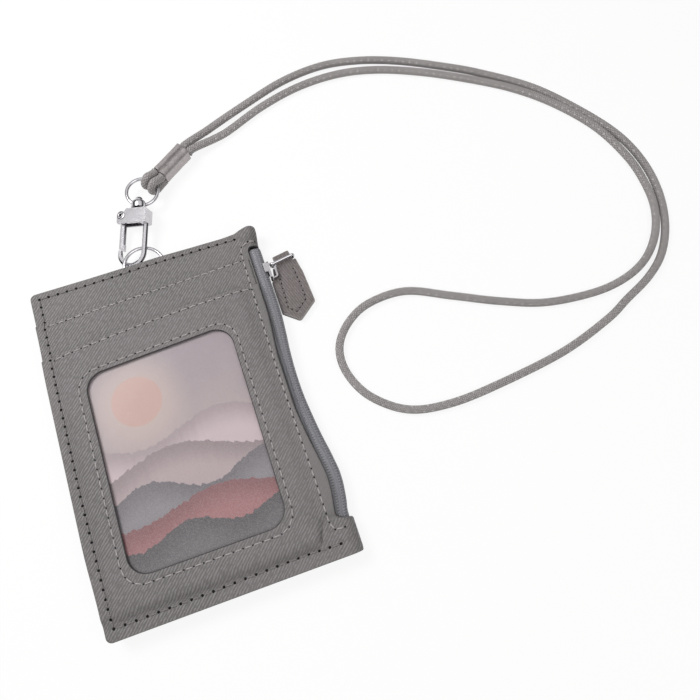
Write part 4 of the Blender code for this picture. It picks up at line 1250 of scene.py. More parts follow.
@dataclass(frozen=True)
class MetalFinish(Finish):
    """Plated metal with faint scratches and softer spots.

    Attributes:
        colour: Its colour.
        rough: Roughness where it is clean.
        dull: Roughness where it is worn.
    """

    colour: Colour = (0.60, 0.585, 0.61)
    rough: float = 0.17
    dull: float = 0.21

    def paint(self, graph: Graph, shader: Node) -> None:
        """Lays out its nodes.

        Args:
            graph: Nodes of the material.
            shader: Its Principled BSDF.
        """
        local = graph.local()
        soil = EFFECTS.use(graph, Effect.SOIL, Place=local, Broad=0.35)
        tint = tuple(v * 0.82 for v in self.colour)
        graph.feed(
            shader.inputs["Base Color"],
            graph.blend(graph.span(soil.outputs["Mottle"], 0.3, 0.75, 0.0, 0.6), self.colour, tint),
        )
        worn = graph.calc("MAXIMUM", soil.outputs["Scratch"], soil.outputs["Dust"])
        graph.feed(shader.inputs["Roughness"], graph.span(worn, 0.0, 1.0, self.rough, self.dull))
        shader.inputs["Metallic"].default_value = 1.0
        height = graph.times_plus(soil.outputs["Scratch"], -0.1, soil.outputs["Mottle"])
        graph.feed(shader.inputs["Normal"], graph.bump(height, 0.002))


@dataclass(frozen=True)
class CordFinish(Finish):
    """Braided cover of the cord.

    Attributes:
        pale: Colour of its raised strands.
        dark: Colour between them.
        fleck: Colour of the paler stitches.
        flecks: How much of them shows.
    """

    pale: Colour = (0.455, 0.425, 0.42)
    dark: Colour = (0.180, 0.167, 0.164)
    fleck: Colour = (0.70, 0.67, 0.67)
    flecks: float = 0.75

    def paint(self, graph: Graph, shader: Node) -> None:
        """Lays out its nodes.

        Args:
            graph: Nodes of the material.
            shader: Its Principled BSDF.
        """
        braid = EFFECTS.use(graph, Effect.BRAID, Place=graph.turns())
        soil = EFFECTS.use(graph, Effect.SOIL, Place=graph.local(), Broad=0.06)
        colour = graph.blend(braid.outputs["Tone"], self.dark, self.pale)
        mottle = graph.span(soil.outputs["Mottle"], 0.35, 0.7, 0.0, 0.25)
        colour = graph.blend(mottle, colour, self.pale)
        colour = graph.blend(graph.times(braid.outputs["Fleck"], self.flecks), colour, self.fleck)
        shader.inputs["Sheen Weight"].default_value = 0.25
        height = braid.outputs["Height"]
        rough = graph.span(height, 0.0, 1.2, 0.85, 0.6)
        self.coat(graph, shader, colour, rough, graph.bump(height, 0.12))


@dataclass(frozen=True)
class ThreadFinish(Finish):
    """Twisted sewing thread.

    Attributes:
        pale: Colour of its strands.
        dark: Colour between them.
    """

    pale: Colour = (0.60, 0.565, 0.555)
    dark: Colour = (0.33, 0.305, 0.30)

    def paint(self, graph: Graph, shader: Node) -> None:
        """Lays out its nodes.

        Args:
            graph: Nodes of the material.
            shader: Its Principled BSDF.
        """
        along, turn = graph.split(graph.turns())
        twist = graph.plus(graph.times(along, 2.2), graph.times(turn, 2.0))
        ply = graph.absolute(graph.sine(graph.times(twist, math.pi)))
        self.coat(
            graph, shader, graph.blend(ply, self.dark, self.pale),
            graph.span(ply, 0.0, 1.0, 0.8, 0.5), graph.bump(ply, 0.06),
        )


@dataclass(frozen=True)
class HoleFinish(Finish):
    """Inside of the needle holes, painted near black for the shade in them."""

    def paint(self, graph: Graph, shader: Node) -> None:
        """Lays out its nodes.

        Args:
            graph: Nodes of the material.
            shader: Its Principled BSDF.
        """
        noise = graph.noise(graph.local(), 4.0, 2.0)
        # Near black: painted shade inside the holes.
        colour = graph.blend(noise, (0.004, 0.004, 0.004), (0.02, 0.018, 0.018))
        self.coat(graph, shader, colour, graph.span(noise, 0.0, 1.0, 0.8, 1.0))
        shader.inputs["Specular IOR Level"].default_value = 0.1


@dataclass(frozen=True)
class SleeveFinish(Finish):
    """Smooth sleeve drawn over the cord's strands.

    Attributes:
        pale: Its colour.
        dark: Its colour in the folds, painted darker for their shade.
        pale_side: Its paler colour along one side.
    """

    pale: Colour = (0.40, 0.365, 0.365)
    dark: Colour = (0.29, 0.262, 0.262)
    pale_side: Colour = (0.66, 0.60, 0.60)

    def paint(self, graph: Graph, shader: Node) -> None:
        """Lays out its nodes.

        Args:
            graph: Nodes of the material.
            shader: Its Principled BSDF.
        """
        place = graph.scaled(graph.turns(), (0.5, 12.0, 1.0))
        crease = graph.noise(place, 1.0, 3.0)
        # Darker where the crease noise is low: painted shade in the folds.
        colour = graph.blend(graph.span(crease, 0.3, 0.7), self.dark, self.pale)
        # Paler along one side of the sleeve.
        turn = graph.split(graph.turns())[1]
        pale_side = graph.times(graph.span(turn, 0.22, 0.26), graph.span(turn, 0.52, 0.48))
        colour = graph.blend(graph.times(pale_side, 0.8), colour, self.pale_side)
        self.coat(
            graph, shader, colour,
            graph.span(crease, 0.2, 0.8, 0.38, 0.55), graph.bump(crease, 0.06),
        )


@dataclass(frozen=True)
class FilmFinish(Finish):
    """Clear film over the card.

    Attributes:
        haze: Share of light that it stops.
    """

    haze: float = 0.06

    def paint(self, graph: Graph, shader: Node) -> None:
        """Lays out its nodes.

        Args:
            graph: Nodes of the material.
            shader: Its Principled BSDF.
        """
        ripple = graph.noise(graph.scaled(graph.local(), (0.06, 0.09, 0.1)), 1.0, 2.0)
        dust = EFFECTS.use(graph, Effect.SOIL, Place=graph.local(), Broad=0.1).outputs["Dust"]
        graph.feed(shader.inputs["Base Color"], graph.blend(ripple, (0.50, 0.49, 0.50), (0.62, 0.60, 0.61)))
        graph.feed(shader.inputs["Roughness"], graph.span(ripple, 0.2, 0.8, 0.08, 0.16))
        graph.feed(shader.inputs["Alpha"], graph.times_plus(dust, 0.05, self.haze))
        graph.feed(shader.inputs["Normal"], graph.bump(ripple, 0.25))


@dataclass(frozen=True)
class PrintFinish(Finish):
    """Card printed with a soft landscape of hills under a low disc.

    Attributes:
        sky: Colour at the top.
        haze: Colour over the hills.
        disc: Colour of the disc.
    """

    sky: Colour = (0.40, 0.33, 0.36)
    haze: Colour = (0.56, 0.45, 0.44)
    disc: Colour = (0.66, 0.40, 0.34)

    def paint(self, graph: Graph, shader: Node) -> None:
        """Lays out its nodes.

        Args:
            graph: Nodes of the material.
            shader: Its Principled BSDF.
        """
        local = graph.local()
        x, y = graph.split(local)
        wash = graph.noise(local, 0.09, 4.0)
        high = graph.times_plus(graph.less(wash, 0.5), 22.0, y)
        colour = graph.blend(graph.span(high, -22.0, 22.0), self.haze, self.sky)
        aside = graph.less(x, -13.5)
        above = graph.less(y, 9.5)
        far = graph.plus(graph.times(aside, aside), graph.times(above, above))
        far = graph.calc("SQRT", far)
        glow = graph.span(far, 7.0, 19.0, 0.55, 0.0)
        colour = graph.blend(glow, colour, (0.72, 0.56, 0.50))
        colour = graph.blend(graph.span(far, 7.6, 8.3, 0.8, 0.0), colour, self.disc)
        layers = (
            (-4.0, 3.2, 0.13, 0.4, (0.42, 0.33, 0.35)),
            (-12.5, 4.0, 0.10, 2.3, (0.31, 0.235, 0.245)),
            (-20.5, 3.0, 0.17, 4.4, (0.145, 0.130, 0.145)),
            (-27.0, 2.6, 0.12, 1.2, (0.235, 0.075, 0.080)),
            (-34.0, 2.2, 0.20, 3.0, (0.062, 0.056, 0.062)),
        )
        for level, swell, pace, shift, ink in layers:
            wave = graph.sine(graph.times_plus(x, pace, shift))
            rough = graph.times(graph.noise(graph.plus(x, shift * 9), 0.35, 3.0), 3.0)
            crest = graph.plus(graph.times_plus(wave, swell, level), rough)
            under = graph.span(graph.less(crest, y), 0.0, 0.35)
            shade = graph.span(graph.less(crest, y), 0.0, 9.0)
            pale = tuple(min(1.0, v * 1.5 + 0.05) for v in ink)
            colour = graph.blend(under, colour, graph.blend(shade, ink, pale))
        grain = graph.noise(local, 2.6, 2.0)
        colour = graph.blend(graph.span(grain, 0.3, 0.8, 0.0, 0.14), colour, (0.75, 0.70, 0.70))
        self.coat(graph, shader, colour, graph.span(grain, 0.2, 0.8, 0.45, 0.6), graph.bump(grain, 0.01))


@dataclass(frozen=True)
class FloorFinish(Finish):
    """White table top that fades into the background and keeps a faint shadow.

    Attributes:
        glow: Share of the camera's view that is plain white.
    """

    glow: float = 0.84

    def paint(self, graph: Graph, shader: Node) -> None:
        """Lays out its nodes.

        Args:
            graph: Nodes of the material.
            shader: Its Principled BSDF.
        """
        shader.inputs["Base Color"].default_value = (0.93, 0.925, 0.925, 1.0)
        shader.inputs["Roughness"].default_value = 0.9
        shader.inputs["Specular IOR Level"].default_value = 0.1
        light = graph.add("ShaderNodeEmission", {"Color": (1.0, 1.0, 1.0, 1.0), "Strength": 1.03})
        path = graph.add("ShaderNodeLightPath")
        seen = graph.calc("MAXIMUM", path.outputs["Is Camera Ray"], path.outputs["Is Transmission Ray"])
        seen = graph.calc("MAXIMUM", seen, path.outputs["Is Glossy Ray"])
        share = graph.times(seen, self.glow)
        mixed = graph.add("ShaderNodeMixShader", {0: share, 1: shader, 2: light})
        graph.feed(graph.tree.nodes["Material Output"].inputs["Surface"], mixed)


@dataclass(frozen=True)
class Studio:
    """Camera, floor and light.

    Attributes:
        focal: Focal length in pixels of the frame.
        frame_wide: Width of the frame in pixels.
        film: Width of the camera's sensor.
        stand: Where the camera is.
        right: Direction to the right of its frame.
        ahead: Direction in which it looks.
        target: Where the lamps point, in metres.
    """

    focal: float = 590.0
    frame_wide: float = 700.0
    film: float = 36.0
    stand: tuple[float, float, float] = (34.31, -42.36, 192.4)
    right: tuple[float, float, float] = (0.9441, -0.3287, 0.0265)
    ahead: tuple[float, float, float] = (0.1107, 0.2404, -0.9643)
    target: tuple[float, float, float] = (0.04, 0.0, 0.0)

    def camera(self) -> None:
        """Places the camera at the photograph's angle."""
        data = bpy.data.cameras.new("camera")
        data.sensor_width = self.film
        data.lens = self.focal / self.frame_wide * self.film
        data.clip_start = 0.005
        thing = bpy.data.objects.new("camera", data)
        right = Vector(self.right).normalized()
        ahead = Vector(self.ahead).normalized()
        up = right.cross(ahead).normalized()
        right = ahead.cross(up)
        place = Matrix((right, up, -ahead)).transposed().to_4x4()
        place.translation = Vector(self.stand) * MM
        thing.matrix_world = place
        bpy.context.scene.collection.objects.link(thing)
        bpy.context.scene.camera = thing

    def light(self) -> None:
        """Sets the world, the lamps and the view."""
        world = bpy.data.worlds.new("studio")
        bpy.context.scene.world = world
        world.use_nodes = True
        graph = Graph(world.node_tree)
        world.node_tree.nodes.clear()
        path = graph.add("ShaderNodeLightPath")
        aim = graph.add("ShaderNodeTexCoord").outputs["Generated"]
        height = graph.add("ShaderNodeSeparateXYZ", {0: aim}).outputs[2]
        soft = graph.add("ShaderNodeBackground", {"Color": (1.0, 0.995, 0.99, 1.0), "Strength": 0.34})
        shine = graph.add("ShaderNodeBackground")
        graph.feed(
            shine.inputs["Color"],
            graph.blend(graph.span(height, 0.30, 0.80), (0.05, 0.05, 0.055), (1.0, 1.0, 1.0)),
        )
        white = graph.add("ShaderNodeBackground", {"Strength": 1.0})
        first = graph.add("ShaderNodeMixShader", {0: path.outputs["Is Glossy Ray"], 1: soft, 2: shine})
        seen = graph.calc("MAXIMUM", path.outputs["Is Camera Ray"], path.outputs["Is Transmission Ray"])
        last = graph.add("ShaderNodeMixShader", {0: seen, 1: first, 2: white})
        graph.add("ShaderNodeOutputWorld", {"Surface": last})
        white.inputs["Color"].default_value = (1.0, 1.0, 1.0, 1.0)
        lamps = (
            ("lamp_left", (-0.17, 0.20, 0.38), 0.20, 1.15),
            ("lamp_front", (0.30, -0.30, 0.60), 0.40, 1.0),
        )
        for name, place, size, power in lamps:
            data = bpy.data.lights.new(name, "AREA")
            data.shape = "SQUARE"
            data.size = size
            data.energy = power
            thing = bpy.data.objects.new(name, data)
            thing.location = place
            aim_at = Vector(self.target) - Vector(place)
            thing.rotation_euler = aim_at.to_track_quat("-Z", "Y").to_euler()
            bpy.context.scene.collection.objects.link(thing)
        bpy.context.scene.view_settings.view_transform = "Standard"

    def floor(self) -> None:
        """Lays the table top under the part."""
        data = bpy.data.meshes.new("floor")
        half = 2.0
        level = -0.00005
        corners = [(-half, -half, level), (half, -half, level), (half, half, level), (-half, half, level)]
        data.from_pydata(corners, [], [(0, 1, 2, 3)])
        data.materials.append(FloorFinish("floor").make())
        thing = bpy.data.objects.new("floor", data)
        bpy.context.scene.collection.objects.link(thing)


@dataclass
class Lanyard:
    """The doubled cord with its sleeve and the two loops round the upper ring."""

    radius: float = 1.4
    strands: int = 8
    lay: float = 3.4
    knit_depth: float = 0.035
    gap: float = 0.4
    rest: float = 1.45
    sleeve_start: tuple[float, float, float] = (13.3, 87.7, 3.55)
    sleeve_heading: float = 34.0
    sleeve_long: float = 12.5
    sleeve_wide: float = 5.5
    sleeve_tall: float = 6.1
    exit_height: float = 3.1
    face_gap: float = 0.3
    loop_radius: float = 2.3
    loop_lead: float = 1.5
    body_top: float = 56.05
    step: float = 0.55
    route: tuple[Point, ...] = (
        (34.6, 46.25), (50.2, 52.35), (66.7, 57.95), (82.6, 60.05), (97.0, 58.15), (111.0, 53.55),
        (126.0, 46.35), (140.2, 38.25), (157.3, 25.75), (170.4, 10.75), (179.6, -3.45), (183.6, -16.65),
        (183.6, -30.05), (179.9, -42.65), (173.2, -52.85), (164.6, -59.45), (153.8, -64.45),
        (143.7, -69.05), (124.3, -74.65), (99.5, -77.85), (81.5, -78.65), (67.6, -75.95),
        (57.2, -67.65), (52.6, -57.55), (53.3, -48.55), (59.0, -41.45), (68.0, -37.15), (81.4, -37.05),
        (96.0, -43.75), (110.9, -50.85), (126.0, -56.45), (144.0, -58.55), (157.0, -57.05),
        (167.0, -52.65), (174.6, -45.05), (179.2, -35.55), (180.4, -25.05), (179.0, -13.05),
        (173.2, 1.95), (162.6, 16.15), (150.0, 27.55), (134.8, 37.15), (119.0, 45.45), (103.0, 51.75),
        (88.0, 54.55), (72.0, 53.75), (56.0, 49.55), (40.0, 42.85),
    )

    def __post_init__(self) -> None:
        """Sets the sleeve's directions."""
        turn = math.radians(self.sleeve_heading)
        self.along = Vector((math.cos(turn), math.sin(turn), 0.0))
        self.left = Vector((-self.along.y, self.along.x, 0.0))
        self.start = Vector(self.sleeve_start)

    def knit(self, length: float, turn: float) -> float:
        """Share of the cord's radius, which the braid's crossings lift a little.

        Args:
            length: Length along the cord.
            turn: Share of a turn round it.

        Returns:
            The share at that place.
        """
        around = turn * self.strands
        forward = length * 4 / self.lay
        a = math.sin(math.pi * (around + forward))
        b = math.sin(math.pi * (around - forward))
        return 1.0 - self.knit_depth * (1.0 - abs(a * b))

    def way(self) -> list[Vector]:
        """The cord's middle line over the table, from the sleeve's end and back.

        Returns:
            Points of the line.
        """
        exit_face = self.start + self.along * (self.sleeve_long + self.face_gap)
        side = self.left * (self.radius + self.gap / 2)
        lift = Vector((0, 0, self.exit_height - self.start.z))
        first = exit_face + side + lift
        last = exit_face - side + lift
        lead = self.along * 2 * self.radius
        points = [first, first + lead]
        points += [Vector((x, self.body_top + y, self.rest)) for x, y in self.route]
        points += [last + lead, last]
        line = smooth_way(points, self.step)
        for point in line:
            point.z = max(point.z, self.rest)
        return line

    def cord(self, finish: Material) -> tuple[Piece, list[Vector]]:
        """Makes the long cord.

        Args:
            finish: The cord's material.

        Returns:
            The piece and its middle line.
        """
        line = self.way()
        shape = Shape()
        shape.tube(line, self.radius, 16, swell=self.knit)
        return shape.build("cord", Body.LANYARD, "cord", [finish], ["lanyard_cord"]), line

    def sleeve(self, finish: Material) -> Piece:
        """Makes the sleeve over the four strands, soft between them and turned in at its ends.

        Args:
            finish: The sleeve's material.

        Returns:
            The piece.
        """
        half_x = self.sleeve_wide / 2
        half_z = self.sleeve_tall / 2
        lobe = 1.2
        waist = 0.2
        groove = 1.25
        outline = rounded((
            (-half_x, -half_z, lobe), (-0.75, -half_z, 0.5), (0, -half_z + groove, 0.3),
            (0.75, -half_z, 0.5), (half_x, -half_z, lobe), (half_x - waist, 0, 2.0),
            (half_x, half_z, lobe), (0.75, half_z, 0.5), (0, half_z - groove, 0.3),
            (-0.75, half_z, 0.5), (-half_x, half_z, lobe), (-half_x + waist, 0, 2.0),
        ), steps=6)
        outline = even_points([*outline, outline[0]], 0.3)[:-1]
        stations = [
            (0.45, 0.86), (0.12, 0.93), (0.0, 0.97), (0.12, 0.995), (0.5, 1.0), (2.0, 0.985),
            (4.0, 0.975), (6.2, 0.985), (8.4, 0.975), (10.5, 0.985), (12.0, 1.0), (12.38, 0.995),
            (12.5, 0.97), (12.38, 0.93), (12.05, 0.86),
        ]
        shape = Shape()
        count = len(outline)
        for far, share in stations:
            for k, (x, z) in enumerate(outline):
                crease = 1.0 - 0.006 * math.sin(far * 2.1 + k * 0.9)
                point = self.start + self.along * far - self.left * (x * share * crease)
                shape.points.append(point + Vector((0, 0, z * share * crease)))
        for i in range(len(stations) - 1):
            for k in range(count):
                n = (k + 1) % count
                near = stations[i][0] / FLAT_UNIT
                far = stations[i + 1][0] / FLAT_UNIT
                shape.add(
                    (i * count + k, i * count + n, (i + 1) * count + n, (i + 1) * count + k),
                    ((near, k / count), (near, (k + 1) / count), (far, (k + 1) / count), (far, k / count)),
                )
        last = (len(stations) - 1) * count
        shape.add(range(count)[::-1], [(0.0, k / count) for k in range(count)])
        shape.add([last + k for k in range(count)], [(0.1, k / count) for k in range(count)])
        return shape.build("cord_sleeve", Body.LANYARD, "sleeve", [finish], ["crimp"])

    def crossing(self, strand: Vector, ring: Matrix, ring_radius: float) -> Vector:
        """Point of the upper ring's wire, on its far side, in a strand's upright plane.

        Args:
            strand: A point of the strand.
            ring: Frame of the ring.
            ring_radius: Radius of the ring.

        Returns:
            The crossing.
        """
        across = ring.to_3x3() @ Vector((ring_radius, 0.0, 0.0))
        up_ring = ring.to_3x3() @ Vector((0.0, ring_radius, 0.0))
        a = across.dot(self.left)
        b = up_ring.dot(self.left)
        c = (strand - ring.translation).dot(self.left)
        middle = math.atan2(b, a)
        swing = math.acos(max(-1.0, min(1.0, c / math.hypot(a, b))))
        points = [
            ring.translation + across * math.cos(angle) + up_ring * math.sin(angle)
            for angle in (middle - swing, middle + swing)
        ]
        return max(points, key=lambda point: point.dot(self.along))

    def loops(self, finish: Material, ring: Matrix, ring_radius: float) -> list[Piece]:
        """Makes the two bights of cord round the upper ring.

        Args:
            finish: The cord's material.
            ring: Frame of the upper ring.
            ring_radius: Its radius.

        Returns:
            The left and right loops.
        """
        side_step = self.radius + self.gap / 2
        strand_step = side_step - 0.05
        face = self.start - self.along * self.face_gap
        up = Vector((0, 0, 1))
        made = []
        for name, side in (("loop_left", 1), ("loop_right", -1)):
            end = face + self.left * side * side_step
            bend = self.crossing(end, ring, ring_radius)
            line = [end - up * strand_step, end - up * strand_step - self.along * self.loop_lead]
            for angle in spread(-90, -270, 8):
                turn = math.radians(angle)
                spoke = self.along * math.cos(turn) + up * math.sin(turn)
                line.append(bend + spoke * self.loop_radius)
            line += [end + up * strand_step - self.along * self.loop_lead, end + up * strand_step]
            shape = Shape()
            shape.tube(smooth_way(line, 0.3), self.radius, 20, swell=self.knit, first_up=self.left * side)
            made.append(shape.build(name, Body.LANYARD, "cord", [finish], ["cord_" + name]))
        return made


@dataclass
class HookGear:
    """Rings, snap hook and swivel between the holder and the cord."""

    lower_radius: float = 6.5
    lower_wire: float = 0.6
    lower_centre: tuple[float, float, float] = (-0.9, 56.3, 2.446)
    lower_tilt: Point = (-0.130, 0.0148)
    hook_origin: tuple[float, float, float] = (-3.70, 62.10, 2.60)
    hook_angles: tuple[float, float, float] = (-19.0, 5.5, -15.0)
    housing_high: float = 15.6
    swivel_across: float = 1.3
    swivel_seat: float = 0.25
    swivel_turn: float = -38.0
    eye_middle: float = 1.45
    eye_arch: tuple[float, float, float] = (1.05, 0.60, 2.9)
    upper_radius: float = 5.35
    upper_wire: float = 0.6
    upper_angles: tuple[float, float, float] = (-26.0, -3.0, 2.0)

    def hook_frame(self) -> Matrix:
        """Frame of the hook: X across, Y along, Z out of its face."""
        return turned(Vector(self.hook_origin), *self.hook_angles)

    def swivel_frame(self) -> Matrix:
        """Frame of the swivel on the housing's top."""
        seat = Matrix.Translation((self.swivel_across, self.housing_high + self.swivel_seat, 0.0))
        return self.hook_frame() @ seat @ Matrix.Rotation(math.radians(self.swivel_turn), 4, "Y")

    def upper_frame(self) -> Matrix:
        """Frame of the upper ring, with the swivel's eye at -Y.

        Returns:
            The frame as a matrix.
        """
        crossing = self.swivel_frame() @ Vector((0.0, self.eye_middle, 0.0))
        place = turned(Vector(), *self.upper_angles)
        place.translation = crossing + place.to_3x3() @ Vector((0.0, self.upper_radius, 0.0))
        return place

    @staticmethod
    def circle(place: Matrix, radius: float, height: float, count: int) -> list[Vector]:
        """Even points on a circle about a frame's Z, at a height over its middle."""
        return [
            place @ Vector((radius * math.cos(turn), radius * math.sin(turn), height))
            for turn in turns_of(count)
        ]

    def rings(self, finish: Material) -> None:
        """Makes the two wire rings, each with its fine butt joint.

        Args:
            finish: The metal.
        """
        centre = Vector(self.lower_centre)
        line = []
        for angle in spread(-math.pi / 2, 3 * math.pi / 2, 96)[:-1]:
            x = self.lower_radius * math.cos(angle)
            y = self.lower_radius * math.sin(angle)
            line.append(centre + Vector((x, y, self.lower_tilt[0] * x + self.lower_tilt[1] * y)))
        lower = Shape()
        lower.tube(line, self.lower_wire, 20, closed=True, swell=self.joint)
        lower.build("ring_low", Body.TAB_RING, "nickel", [finish], ["lower_ring"])
        place = self.upper_frame()
        line = [
            place @ Vector((self.upper_radius * math.cos(a), self.upper_radius * math.sin(a), 0.0))
            for a in spread(-math.pi / 2, 3 * math.pi / 2, 96)[:-1]
        ]
        upper = Shape()
        upper.tube(line, self.upper_wire, 20, closed=True, swell=self.joint)
        upper.build("ring_high", Body.CORD_RING, "nickel", [finish], ["upper_ring"])

    def bell(self, finish: Material) -> None:
        """Makes the swivel's bell-shaped head, with the low eye that the ring passes through.

        Args:
            finish: The metal.
        """
        place = self.swivel_frame()
        rows = (
            (0.10, 1.9), (0.14, 2.6), (0.30, 2.95), (0.60, 3.0), (1.6, 3.05), (2.1, 2.98), (2.5, 2.75),
            (2.8, 2.35), (3.1, 1.95), (3.5, 1.62), (3.9, 1.42), (4.15, 1.15), (4.26, 0.7), (4.28, 0.3),
        )
        bell = Shape()
        count = 40
        flatness = 0.82
        for height, radius in rows:
            for turn in turns_of(count):
                point = Vector((radius * math.cos(turn), height, flatness * radius * math.sin(turn)))
                bell.points.append(place @ point)
        bell.skin(len(rows), count, outward=False)
        bell.lid(range(count))
        bell.lid([(len(rows) - 1) * count + k for k in range(count)][::-1])
        eye = Shape()
        axis = place.to_3x3() @ Vector((0.0, 1.0, 0.0))
        along = self.upper_frame().to_3x3() @ Vector((1.0, 0.0, 0.0))
        along = (along - axis * along.dot(axis)).normalized()
        aside = axis.cross(along)
        half, low, high = self.eye_arch
        arch = rounded(((-half, low, 0.3), (half, low, 0.3), (half, high, 0.9), (-half, high, 0.9)))
        for far in (-4.0, 4.0):
            eye.points += [place.translation + aside * x + axis * y + along * far for x, y in arch]
        size = len(arch)
        eye.skin(2, size)
        eye.lid(range(size)[::-1])
        eye.lid([size + k for k in range(size)])
        head = bell.build("swivel_bell", Body.HOOK_SWIVEL, "nickel", [finish], ["swivel"])
        cutter = eye.build("eye_cutter", Body.HOOK_SWIVEL, "nickel", [finish])
        cut = head.modifiers.new("eye", "BOOLEAN")
        cut.object = cutter
        cut.solver = "EXACT"
        view = bpy.context.evaluated_depsgraph_get()
        head.data = bpy.data.meshes.new_from_object(head.evaluated_get(view))
        head.modifiers.clear()
        bpy.data.objects.remove(cutter)

    def pin_head(self, finishes: dict[str, Material]) -> None:
        """Makes the turned rim of the gate's hollow pin on the housing's face.

        Args:
            finishes: Materials by name.
        """
        place = self.hook_frame() @ Matrix.Translation((-4.0, 13.2, 2.1))
        rows = (
            (1.50, -0.05), (1.50, 0.10), (1.40, 0.20), (1.22, 0.21), (1.10, 0.08), (1.0, 0.06),
            (0.90, 0.12), (0.82, 0.34), (0.68, 0.42), (0.54, 0.38), (0.46, 0.22), (0.44, -0.05),
        )
        rim = Shape()
        count = 32
        for radius, height in rows:
            rim.points += self.circle(place, radius, height, count)
        rim.skin(len(rows), count, closed=True)
        rim.build("pin_rim", Body.HOOK, "nickel", [finishes["slider"]])
        # The pin's hollow takes the holes' near-black finish, painted shade inside it.
        hollow = Shape()
        for radius in (0.46, 0.25):
            hollow.points += self.circle(place, radius, 0.05 + 0.02 * radius, count)
        hollow.points.append(place @ Vector((0.0, 0.0, 0.04)))
        hollow.dish(0, count)
        hollow.build("pin_hollow", Body.HOOK, "steel", [finishes["hole"]])

    def joint(self, length: float, turn: float) -> float:
        """Share of a ring's radius, drawn in at its butt joint."""
        return 0.90 if 2.5 < length < 2.75 else 1.0


